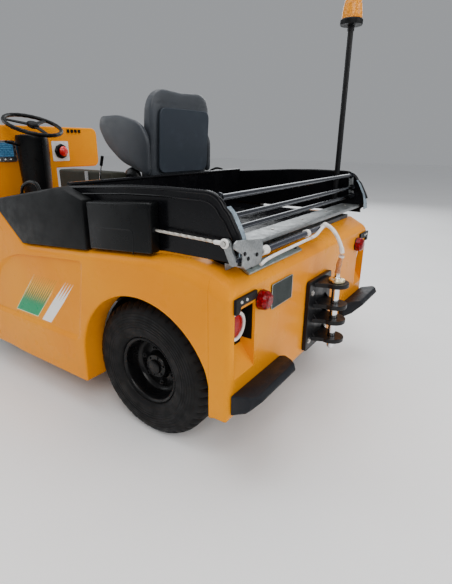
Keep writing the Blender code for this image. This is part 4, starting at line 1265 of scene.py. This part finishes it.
def make_beacon():
    foot = (0.20, -0.69, 0.0)
    mast = [
        (0, 0.9254), (0.024, 0.9254), (0.024, 0.932), (0.0165, 0.936), (0.0155, 1.93), (0.019, 1.934),
        (0.019, 1.9596), (0, 1.9596)
    ]
    piece("mast_tube", turned(mast, 24, foot), "frame", replaces=["beacon_mast"])
    base = [(0, 1.9604), (0.060, 1.9604), (0.062, 1.964), (0.062, 1.984), (0.057, 1.990), (0, 1.990)]
    piece("beacon_base", turned(base, 40, foot), "plastic")
    height = np.linspace(0, 1, 26)
    radius = 0.0555 - 0.010 * height ** 2 + 0.0007 * np.cos(height * TAU * 12)
    top = arc((0.0, 0.0), 1.0, 10, 90, 8)
    cap = np.stack([0.0455 * top[:, 0], 2.073 + 0.021 * top[:, 1]], 1)
    lens_profile = np.concatenate([[(0, 1.9905)], np.stack([radius, 1.9905 + 0.0825 * height], 1), cap])
    piece("beacon_lens", turned(lens_profile, 40, foot), "amber_lens", replaces=["beacon"])


# ---------------------------------------------------------------- seat and cab

SEAT_Y = -0.11


def pillow(outline, rise, low, high, power=5.0, belly=0.0, rings=18):
    """A closed pad: the outline shrunk about its middle by s, at height h, where s^p + |h|^p = 1 between
    the low and the high face, and its sides pull in by the belly midway between the corners."""
    loop = ccw(np.asarray(outline, float))
    middle = (loop.max(0) + loop.min(0)) / 2
    arm = loop - middle
    half = np.abs(arm).max(0)
    corner = np.abs(arm[:, 0] / half[0] * arm[:, 1] / half[1])
    arm = arm * (1 - belly * (1 - np.clip(corner * 1.6, 0, 1)))[:, None]
    turn = np.linspace(-math.pi / 2, math.pi / 2, rings * 2 + 1)
    share = np.abs(np.cos(turn)) ** (2 / power)
    level = np.sign(turn) * np.abs(np.sin(turn)) ** (2 / power)
    inner = np.linspace(0, share[1], 7)[:-1] if rings > 8 else []
    share = np.concatenate([inner, share[1:-1], np.asarray(inner)[::-1]])
    level = np.concatenate([np.full(len(inner), -1.0), level[1:-1], np.full(len(inner), 1.0)])
    flat = middle + arm * share[:, None, None]
    height = (low + high) / 2 + (high - low) / 2 * level
    dome = rise * np.clip(1 - share ** 2, 0, 1) * (level > 0)
    return flat, np.broadcast_to((height + dome)[:, None], flat.shape[:2])


def channels(value, lines, width):
    """A sum of narrow wells exp(-((x - a) / w)^2), one along each sewn line a."""
    lines = np.asarray(lines)
    return np.exp(-((value[..., None] - lines) / width) ** 2).sum(-1)


def cushion_shape():
    plan = dense(oblong((1.005, -0.352), (1.515, 0.132), 0.10, 8), 0.009)
    flat, height = pillow(plan, sizes().pad_rise, 0.8860, 1.030, 5.0, 0.035, 22)
    x, y = flat[..., 0], flat[..., 1]
    upper = step_up(height, 1.0, 1.02)
    off = np.abs(y - SEAT_Y)
    across = step_up(0.155 - off, 0.0, 0.012) * step_up(x, 1.05, 1.07) * (1 - step_up(x, 1.45, 1.47))
    sewn = 0.006 * channels(x, np.linspace(1.12, 1.42, 5), 0.006) * across
    border = 0.007 * channels(off, [0.158], 0.006) * step_up(x, 1.03, 1.05)
    bolster = 0.016 * step_up(off, 0.155, 0.20) * (1 - step_up(off, 0.21, 0.245))
    height = height + upper * (bolster - sewn - border)
    height = np.minimum(height, 1.0465)
    return capped(np.stack([x, y, height], -1))


def back_shape():
    """The pad is made upright, then its depth d becomes x = back(z) + d thick(z)."""
    face = dense(oblong((-0.372, 1.056), (0.152, 1.612), 0.13, 9), 0.009)
    flat, depth = pillow(face, 0.06, 0.0, 0.90, 4.5, 0.03, 22)
    y, z = flat[..., 0], flat[..., 1]
    front = step_up(depth, 0.80, 0.9)
    off = np.abs(y - SEAT_Y)
    inside = step_up(0.165 - off, 0.0, 0.012) * step_up(z, 1.10, 1.12) * (1 - step_up(z, 1.52, 1.54))
    sewn = 0.06 * channels(z, np.linspace(1.16, 1.48, 6), 0.006) * inside
    border = 0.07 * channels(off, [0.168], 0.006)
    rear = 1 - step_up(depth, 0.05, 0.16)
    seam = 0.035 * channels(z, [1.535, 1.13], 0.004) * rear
    depth = depth - front * (sewn + border) + seam
    thick = 0.135 - 0.09 * np.clip(z - 1.10, 0, 1)
    back = 0.966 - 0.070 * np.clip(z - 1.10, 0, 1)
    return capped(np.stack([back + depth * thick, y, z], -1))


def wing_shape(side):
    """Hip pad beside the backrest: a pillow of its side outline, thicker in the middle."""
    outline = [
        (0.965, 1.150), (1.055, 1.186), (1.175, 1.226), (1.300, 1.325), (1.352, 1.42), (1.330, 1.475),
        (1.18, 1.480), (1.02, 1.44), (0.962, 1.36)
    ]
    loop = dense(bent(outline, 0.05, 6), 0.012)
    flat, depth = pillow(loop, 0.008, 0.0, 0.046, 3.5, 0.0, 12)
    y = SEAT_Y + side * (0.256 + depth)
    return capped(np.stack([flat[..., 0], y, flat[..., 1]], -1))


def make_seat():
    cushion = piece("seat_pad", cushion_shape(), "vinyl", replaces=["seat_cushion"], angle=60)
    back = piece("back_pad", back_shape(), "vinyl", replaces=["seat_backrest"], angle=60)
    for word, side in SIDES:
        wing = piece(word + "_hip_wing", wing_shape(side), "vinyl", angle=60)
        hub_y = SEAT_Y + side * 0.262
        cover = [(0, 0.030), (0.030, 0.029), (0.052, 0.024), (0.066, 0.013), (0.070, 0.0), (0, 0)]
        cover = sided(cover, side)
        piece(word + "_hinge_cover", turned(cover, 40, (1.115, hub_y, 1.130), "Y"), "satin_plastic")
        pit = sided([(0, 0.0335), (0.007, 0.033), (0.0085, 0.030), (0.0085, 0.026), (0, 0.026)], side)
        piece(word + "_hinge_screw", turned(pit, 16, (1.110, hub_y, 1.128), "Y"), "dull_steel")
        collar = [(0.012, 0.028), (0.020, 0.0305), (0.024, 0.027), (0.024, 0.022), (0.012, 0.022)]
        collar = sided(collar, side)
        points, faces = turned(collar + collar[:1], 28, (1.110, hub_y, 1.128), "Y")
        piece(word + "_hinge_collar", (points, faces[:-2]), "liner")
    panel = dense(oblong((-0.33, 1.17), (0.11, 1.515), 0.05, 6), 0.02)
    points, faces = slab(panel, 0.0, 0.012, 0.004, "YZ", 3)
    points[:, 0] = 0.962 - 0.070 * (points[:, 2] - 1.10) - points[:, 0]
    piece("back_panel", (points, faces), "seat_shell")
    rails = together(*(block((1.02, y, 0.8862), (1.50, y + 0.03, 0.902), 0.003) for y in (-0.31, 0.06)))
    piece("seat_rails", rails, "frame")
    belt = eased([(1.01, 0.165, 0.92), (1.02, 0.172, 1.00), (1.05, 0.168, 1.05)], 0.02)
    piece("belt_stalk", carried(oblong((-0.004, -0.012), (0.004, 0.012), 0.002, 2), belt), "satin_plastic")
    piece("belt_buckle", block((1.035, 0.158, 1.045), (1.085, 0.178, 1.085), 0.006), "satin_plastic")


def make_steering():
    x, y = 2.17, 0.10
    height = np.array([0.5315, 0.536, 0.56, 0.60, 0.95, 1.25, 1.345, 1.372, 1.379])
    radius = np.array([0.100, 0.104, 0.100, 0.084, 0.098, 0.110, 0.112, 0.106, 0.070])
    turn = np.arange(56) * TAU / 56
    square = 1 + 0.035 * np.cos(4 * turn)
    rings = np.stack([
        x + radius[:, None] * square * np.cos(turn), y + radius[:, None] * square * np.sin(turn),
        np.broadcast_to(height[:, None], (len(height), len(turn))),
    ], -1)
    piece("column_cover", capped(rings), "satin_plastic", replaces=["steering_column"])
    seam = [(x - 0.004 - 0.0995 - 0.012 * (z - 0.95) / 0.3, y, z) for z in (0.62, 0.95, 1.25, 1.34)]
    piece("column_seam", tube(seam, 0.0022, 8), "liner")
    stalk = eased([(2.16, 0.19, 1.30), (2.14, 0.25, 1.315), (2.10, 0.33, 1.33)], 0.02)
    piece("column_stalk", tube(stalk, np.linspace(0.006, 0.009, len(stalk)), 12, (1, 0, 0)), "satin_plastic")
    hub = np.array([2.13, 0.10, 1.44])
    around = np.arange(96) * TAU / 96
    ring = np.stack([0.185 * np.cos(around), 0.185 * np.sin(around), np.zeros(96)], 1)
    grip = 0.0135 + 0.0007 * np.cos(24 * around)
    section = circle(1.0, 16)[None] * grip[:, None, None]
    rim = carried(section, ring, side=(0.0, 0.0, 1.0), closed=True)
    boss = [(0, -0.0175), (0.030, -0.0175), (0.040, -0.010), (0.042, 0.010), (0.034, 0.0175)]
    boss = turned(boss + [(0.018, 0.0185), (0, 0.0185)], 36)
    spokes = []
    for turn_deg in (60, 180, 300):
        arm = bent([(0.03, -0.020), (0.178, -0.011), (0.178, 0.011), (0.03, 0.020)], 0.004, 3)
        points, faces = slab(arm, -0.005, 0.005, 0.003, "XY", 3)
        spokes.append((lean(points, turn_deg, (0, 0, 0), "Z"), faces))
    points, faces = together(rim, boss, *spokes)
    points = lean(points, -22, (0, 0, 0)) + hub
    piece("steering_rim", (points, faces), "satin_plastic", "steering_wheel", ["steering_wheel"])


def make_cab():
    softened("dashboard", "paint", 0.010, 3)
    softened("side_console", "console", 0.012, 4)
    softened("battery_cover", "plastic", 0.006, 3)
    refinished("floor_plate", "tread_plate")
    hidden = ("chassis_frame", "battery_block", "rear_axle", "front_axle")
    for node in hidden + ("left_knuckle", "right_knuckle", "tie_rod"):
        refinished(node, "frame")
    face = 2.3196
    panel = slab(oblong((0.145, 1.192), (0.362, 1.338), 0.014, 4), face, face - 0.008, 0.002, "YZ", 2)
    piece("instrument_plate", panel, "silver_panel")
    glass = slab(oblong((0.168, 1.226), (0.340, 1.322), 0.008, 4), face - 0.008, face - 0.011, 0.001, "YZ", 2)
    piece("instrument_screen", glass, "screen")
    key = [(0, 0.004), (0.005, 0.0035), (0.0062, 0.001), (0.0062, 0), (0, 0)]
    keys = [facing_rear(key, 16, face - 0.008, y, 1.208) for y in (0.195, 0.235, 0.275, 0.315)]
    piece("instrument_keys", together(*keys), "white")
    stop_y, stop_z = -0.228, 1.26
    plate = oblong((stop_y - 0.075, stop_z - 0.075), (stop_y + 0.075, stop_z + 0.075), 0.006, 3)
    plate = slab(plate, face, face - 0.003, 0.001, "YZ", 2)
    piece("stop_plate", plate, "white")
    body = [(0, 0.022), (0.050, 0.022), (0.056, 0.017), (0.056, 0.003), (0, 0.003)]
    piece("stop_body", facing_rear(body, 8, face, stop_y, stop_z), "satin_plastic", angle=20)
    knob = [
        (0, 0.058), (0.022, 0.056), (0.034, 0.050), (0.038, 0.042), (0.034, 0.036), (0.018, 0.034),
        (0.018, 0.020), (0, 0.020)
    ]
    piece("stop_knob", facing_rear(knob, 36, face, stop_y, stop_z), "red_knob")
    switches = together(*(
        slab(oblong((y - 0.011, 1.40), (y + 0.011, 1.425), 0.003, 2), face, face - 0.009, 0.002, "YZ", 2)
        for y in (-0.42, -0.385, -0.35, -0.315)
    ))
    piece("dash_switches", switches, "satin_plastic")
    strip = slab(oblong((1.318, 0.90), (1.348, 1.1735), 0.004, 2), 0.3100, 0.3145, 0.0015)
    piece("console_strip", strip, "zinc")
    lever = eased([(1.205, 0.332, 1.085), (1.188, 0.335, 1.15), (1.165, 0.338, 1.225)], 0.02)
    piece("park_lever", tube(lever, 0.0042, 10), "chrome")
    grip = tube([(1.168, 0.338, 1.213), (1.150, 0.339, 1.262)], 0.0085, 14)
    piece("park_grip", grip, "satin_plastic")
    slot_plate = slab(oblong((1.17, 0.317), (1.25, 0.347), 0.006, 3), 1.080, 1.088, 0.002, "XY", 2)
    piece("lever_base", slot_plate, "satin_plastic")
    pads, arms = [], []
    for y, wide in ((-0.06, 0.045), (-0.19, 0.035)):
        pad = slab(oblong((y - wide, 0.600), (y + wide, 0.675), 0.008, 3), 0.0, 0.010, 0.002, "YZ", 2)
        points, faces = pad
        pads.append((lean(points + (2.225, 0, 0), 25, (2.225, y, 0.64)), faces))
        arms.append(tube(eased([(2.235, y, 0.64), (2.28, y, 0.70), (2.315, y, 0.76)], 0.02), 0.008, 12))
        ribs = [
            block((-0.004, y - wide + 0.006, z), (0.001, y + wide - 0.006, z + 0.005), 0.001)
            for z in np.linspace(0.608, 0.662, 5)
        ]
        pads += [(lean(p + (2.225, 0, 0), 25, (2.225, y, 0.64)), f) for p, f in ribs]
    piece("pedal_pads", together(*pads), "liner")
    piece("pedal_arms", together(*arms), "frame")


# ---------------------------------------------------------------- stage

def make_stage():
    floor_mesh = bpy.data.meshes.new("floor")
    axis = np.linspace(-1, 1, 9)
    u, v = np.meshgrid(axis, axis, indexing="ij")
    spread = 30 * np.sign(u) * np.abs(u) ** 1.5, 30 * np.sign(v) * np.abs(v) ** 1.5
    points = np.stack([*spread, np.zeros_like(u)], -1).reshape(-1, 3)
    floor_mesh.from_pydata(points.tolist(), [], grid(9, 9, around=False))
    floor_mesh.materials.append(floor_finish("tug_floor"))
    floor = bpy.data.objects.new("floor", floor_mesh)
    bpy.context.scene.collection.objects.link(floor)
    if floor_mesh.polygons[0].normal.z < 0:
        floor_mesh.flip_normals()
    world = bpy.data.worlds.new("studio")
    world.use_nodes = True
    world.node_tree.nodes["Background"].inputs["Color"].default_value = (0.93, 0.96, 1.0, 1.0)
    world.node_tree.nodes["Background"].inputs["Strength"].default_value = 0.38
    bpy.context.scene.world = world
    lights = (
        ("key", (-4.5, 4.5, 5.5), 4.0, 250.0, (1.0, 0.98, 0.95)),
        ("rear", (-6.5, -1.5, 3.6), 3.5, 140.0, (1.0, 1.0, 1.0)),
        ("top", (0.0, 0.0, 7.0), 6.0, 330.0, (1.0, 1.0, 1.0)),
        ("front", (6.0, 3.5, 4.0), 5.0, 170.0, (0.95, 0.98, 1.0)),
        ("right", (1.5, -6.5, 4.0), 5.0, 200.0, (0.95, 0.98, 1.0)),
    )
    for name, place, size, power, colour in lights:
        lamp = bpy.data.lights.new(name, "AREA")
        lamp.size = size
        lamp.energy = power
        lamp.color = colour
        thing = bpy.data.objects.new(name, lamp)
        thing.location = place
        aim = np.array([0.0, 0.0, 0.6]) - np.array(place)
        thing.rotation_euler = (
            math.atan2(math.hypot(aim[0], aim[1]), -aim[2]), 0.0, math.atan2(aim[1], aim[0]) - math.pi / 2
        )
        bpy.context.scene.collection.objects.link(thing)
    data = bpy.data.cameras.new("camera")
    data.sensor_width = 36.0
    data.lens = 25.74
    data.clip_end = 200.0
    camera = bpy.data.objects.new("camera", data)
    camera.location = (REAR - 0.74785, 1.93006, 1.34031)
    camera.rotation_euler = [math.radians(angle) for angle in (70.2513, -0.5357, -145.6979)]
    bpy.context.scene.collection.objects.link(camera)
    bpy.context.scene.camera = camera


# ---------------------------------------------------------------- settings, operators and panel

def colour_property(name, description, value):
    return bpy.props.FloatVectorProperty(
        name=name, description=description, subtype="COLOR", size=3, min=0.0, max=1.0, default=value
    )


def size_property(name, description, value, low=0.0, high=1.0):
    return bpy.props.FloatProperty(
        name=name, description=description, default=value, min=low, max=high,
        subtype="DISTANCE", unit="LENGTH",
    )


class TugSizes(bpy.types.PropertyGroup):
    """Sizes of the forms that a user would change."""

    shoulder: size_property("Shoulder", "Edge radius along the top of the side panels", 0.040, 0.01, 0.06)
    recess: size_property("Recess", "Depth of the pressed field in the side panels", 0.012, 0.002, 0.014)
    crease: size_property(
        "Crease", "Edge radius between the rear face and the sloping deck", 0.023, 0.004, 0.04
    )
    lug_depth: size_property("Lug depth", "Depth of the cuts in the tread", 0.009, 0.002, 0.012)
    rim_tube: size_property("Tray rim", "Radius of the rolled rim on the tray walls", 0.0105, 0.004, 0.014)
    pad_rise: size_property("Pad rise", "Crown of the seat pads", 0.012, 0.0, 0.02)
    lugs: bpy.props.IntProperty(
        name="Lugs", description="Cuts around one shoulder of a tyre", default=46, min=20, max=60
    )
    number_plate: bpy.props.BoolProperty(
        name="Blank plate", description="Add the blank rear plate", default=True
    )


class TugColours(bpy.types.PropertyGroup):
    """Colours of the main finishes."""

    body: colour_property("Body", "Bodywork paint", (0.84, 0.27, 0.0))
    plastic: colour_property("Plastic", "Moulded guards, bumpers and covers", (0.005, 0.0055, 0.006))
    decal_green: colour_property("Sticker green", "Slanted sticker on the side panels", (0.0, 0.30, 0.13))
    floor: colour_property("Floor", "Studio floor", (0.95, 0.95, 0.95))


class TUG_OT_wheels(bpy.types.Operator):
    """Tyres with cut tread, dished rims and their nuts."""

    bl_idname = "tug.wheels"
    bl_label = "Wheels"

    def execute(self, context):
        make_wheels()
        return {"FINISHED"}


class TUG_OT_arch_shade_liners(bpy.types.Operator):
    """Dark liners over the wheels, painted shade for the dark inside of the arches."""

    bl_idname = "tug.liners"
    bl_label = "Arch liners"

    def execute(self, context):
        make_arch_shade_liners()
        return {"FINISHED"}


class TUG_OT_side_bodies(bpy.types.Operator):
    """Left and right panels with their pressed fields and stickers."""

    bl_idname = "tug.side_bodies"
    bl_label = "Side panels"

    def execute(self, context):
        make_side_bodies()
        return {"FINISHED"}


class TUG_OT_rear_body(bpy.types.Operator):
    """Rear block with its lamp niches and blank plate."""

    bl_idname = "tug.rear_body"
    bl_label = "Rear body"

    def execute(self, context):
        make_rear_body()
        return {"FINISHED"}


class TUG_OT_front_body(bpy.types.Operator):
    """Fenders, nose, cowl and bonnet."""

    bl_idname = "tug.front_body"
    bl_label = "Front body"

    def execute(self, context):
        make_front_body()
        return {"FINISHED"}


class TUG_OT_tray(bpy.types.Operator):
    """Tray floor, walls, rolled rims and rear flanges."""

    bl_idname = "tug.tray"
    bl_label = "Load tray"

    def execute(self, context):
        make_tray()
        return {"FINISHED"}


class TUG_OT_rails(bpy.types.Operator):
    """Three bars and their straps."""

    bl_idname = "tug.rails"
    bl_label = "Tray rails"

    def execute(self, context):
        make_rails()
        return {"FINISHED"}


class TUG_OT_ledge(bpy.types.Operator):
    """Folded sheet along the tray's rear edge."""

    bl_idname = "tug.ledge"
    bl_label = "Tray ledge"

    def execute(self, context):
        make_ledge()
        return {"FINISHED"}


class TUG_OT_release(bpy.types.Operator):
    """Cable, shaft, hose and sleeve of the pin release."""

    bl_idname = "tug.release"
    bl_label = "Hand release"

    def execute(self, context):
        make_release()
        return {"FINISHED"}


class TUG_OT_bracket(bpy.types.Operator):
    """Bracket plate, guide bar and their bolts."""

    bl_idname = "tug.bracket"
    bl_label = "Release bracket"

    def execute(self, context):
        make_bracket()
        return {"FINISHED"}


class TUG_OT_hitch(bpy.types.Operator):
    """Back plate, tongues, bolts and pin."""

    bl_idname = "tug.hitch"
    bl_label = "Tow hitch"

    def execute(self, context):
        make_hitch()
        return {"FINISHED"}


class TUG_OT_mouldings(bpy.types.Operator):
    """Bumpers, guards, grab loops and release box."""

    bl_idname = "tug.mouldings"
    bl_label = "Mouldings"

    def execute(self, context):
        make_mouldings()
        return {"FINISHED"}


class TUG_OT_lamps(bpy.types.Operator):
    """Tail, marker and head lamps."""

    bl_idname = "tug.lamps"
    bl_label = "Lamps"

    def execute(self, context):
        make_lamps()
        return {"FINISHED"}


class TUG_OT_beacon(bpy.types.Operator):
    """Mast and warning beacon."""

    bl_idname = "tug.beacon"
    bl_label = "Beacon"

    def execute(self, context):
        make_beacon()
        return {"FINISHED"}


class TUG_OT_seat(bpy.types.Operator):
    """Padded cushion, backrest, hip pads and their hardware."""

    bl_idname = "tug.seat"
    bl_label = "Seat"

    def execute(self, context):
        make_seat()
        return {"FINISHED"}


class TUG_OT_steering(bpy.types.Operator):
    """Column cover, stalk and steering wheel."""

    bl_idname = "tug.steering"
    bl_label = "Steering"

    def execute(self, context):
        make_steering()
        return {"FINISHED"}


class TUG_OT_cab(bpy.types.Operator):
    """Dashboard, console, floor, controls and running gear."""

    bl_idname = "tug.cab"
    bl_label = "Cab"

    def execute(self, context):
        make_cab()
        return {"FINISHED"}


class TUG_OT_stage(bpy.types.Operator):
    """Floor, lights and camera."""

    bl_idname = "tug.stage"
    bl_label = "Stage"

    def execute(self, context):
        make_stage()
        return {"FINISHED"}


OPERATORS = (
    TUG_OT_wheels,
    TUG_OT_arch_shade_liners,
    TUG_OT_side_bodies,
    TUG_OT_rear_body,
    TUG_OT_front_body,
    TUG_OT_tray,
    TUG_OT_rails,
    TUG_OT_ledge,
    TUG_OT_release,
    TUG_OT_bracket,
    TUG_OT_hitch,
    TUG_OT_mouldings,
    TUG_OT_lamps,
    TUG_OT_beacon,
    TUG_OT_seat,
    TUG_OT_steering,
    TUG_OT_cab,
    TUG_OT_stage,
)


class TUG_PT_panel(bpy.types.Panel):
    """Lists the tug's settings and its operators."""

    bl_label = "Baggage tug"
    bl_space_type = "VIEW_3D"
    bl_region_type = "UI"
    bl_category = "Tug"

    def draw(self, context):
        for group in (context.scene.tug_sizes, context.scene.tug_colours):
            box = self.layout.box()
            for name in group.__annotations__:
                box.prop(group, name)
        column = self.layout.column(align=True)
        for made in OPERATORS:
            column.operator(made.bl_idname)


CLASSES = (TugSizes, TugColours, *OPERATORS, TUG_PT_panel)


def register():
    for made in CLASSES:
        bpy.utils.register_class(made)
    bpy.types.Scene.tug_sizes = bpy.props.PointerProperty(type=TugSizes)
    bpy.types.Scene.tug_colours = bpy.props.PointerProperty(type=TugColours)


def unregister():
    del bpy.types.Scene.tug_colours
    del bpy.types.Scene.tug_sizes
    for made in reversed(CLASSES):
        bpy.utils.unregister_class(made)


def main():
    register()
    for made in OPERATORS:
        getattr(bpy.ops.tug, made.bl_idname.split(".")[1])()


if __name__ == "__main__":
    main()
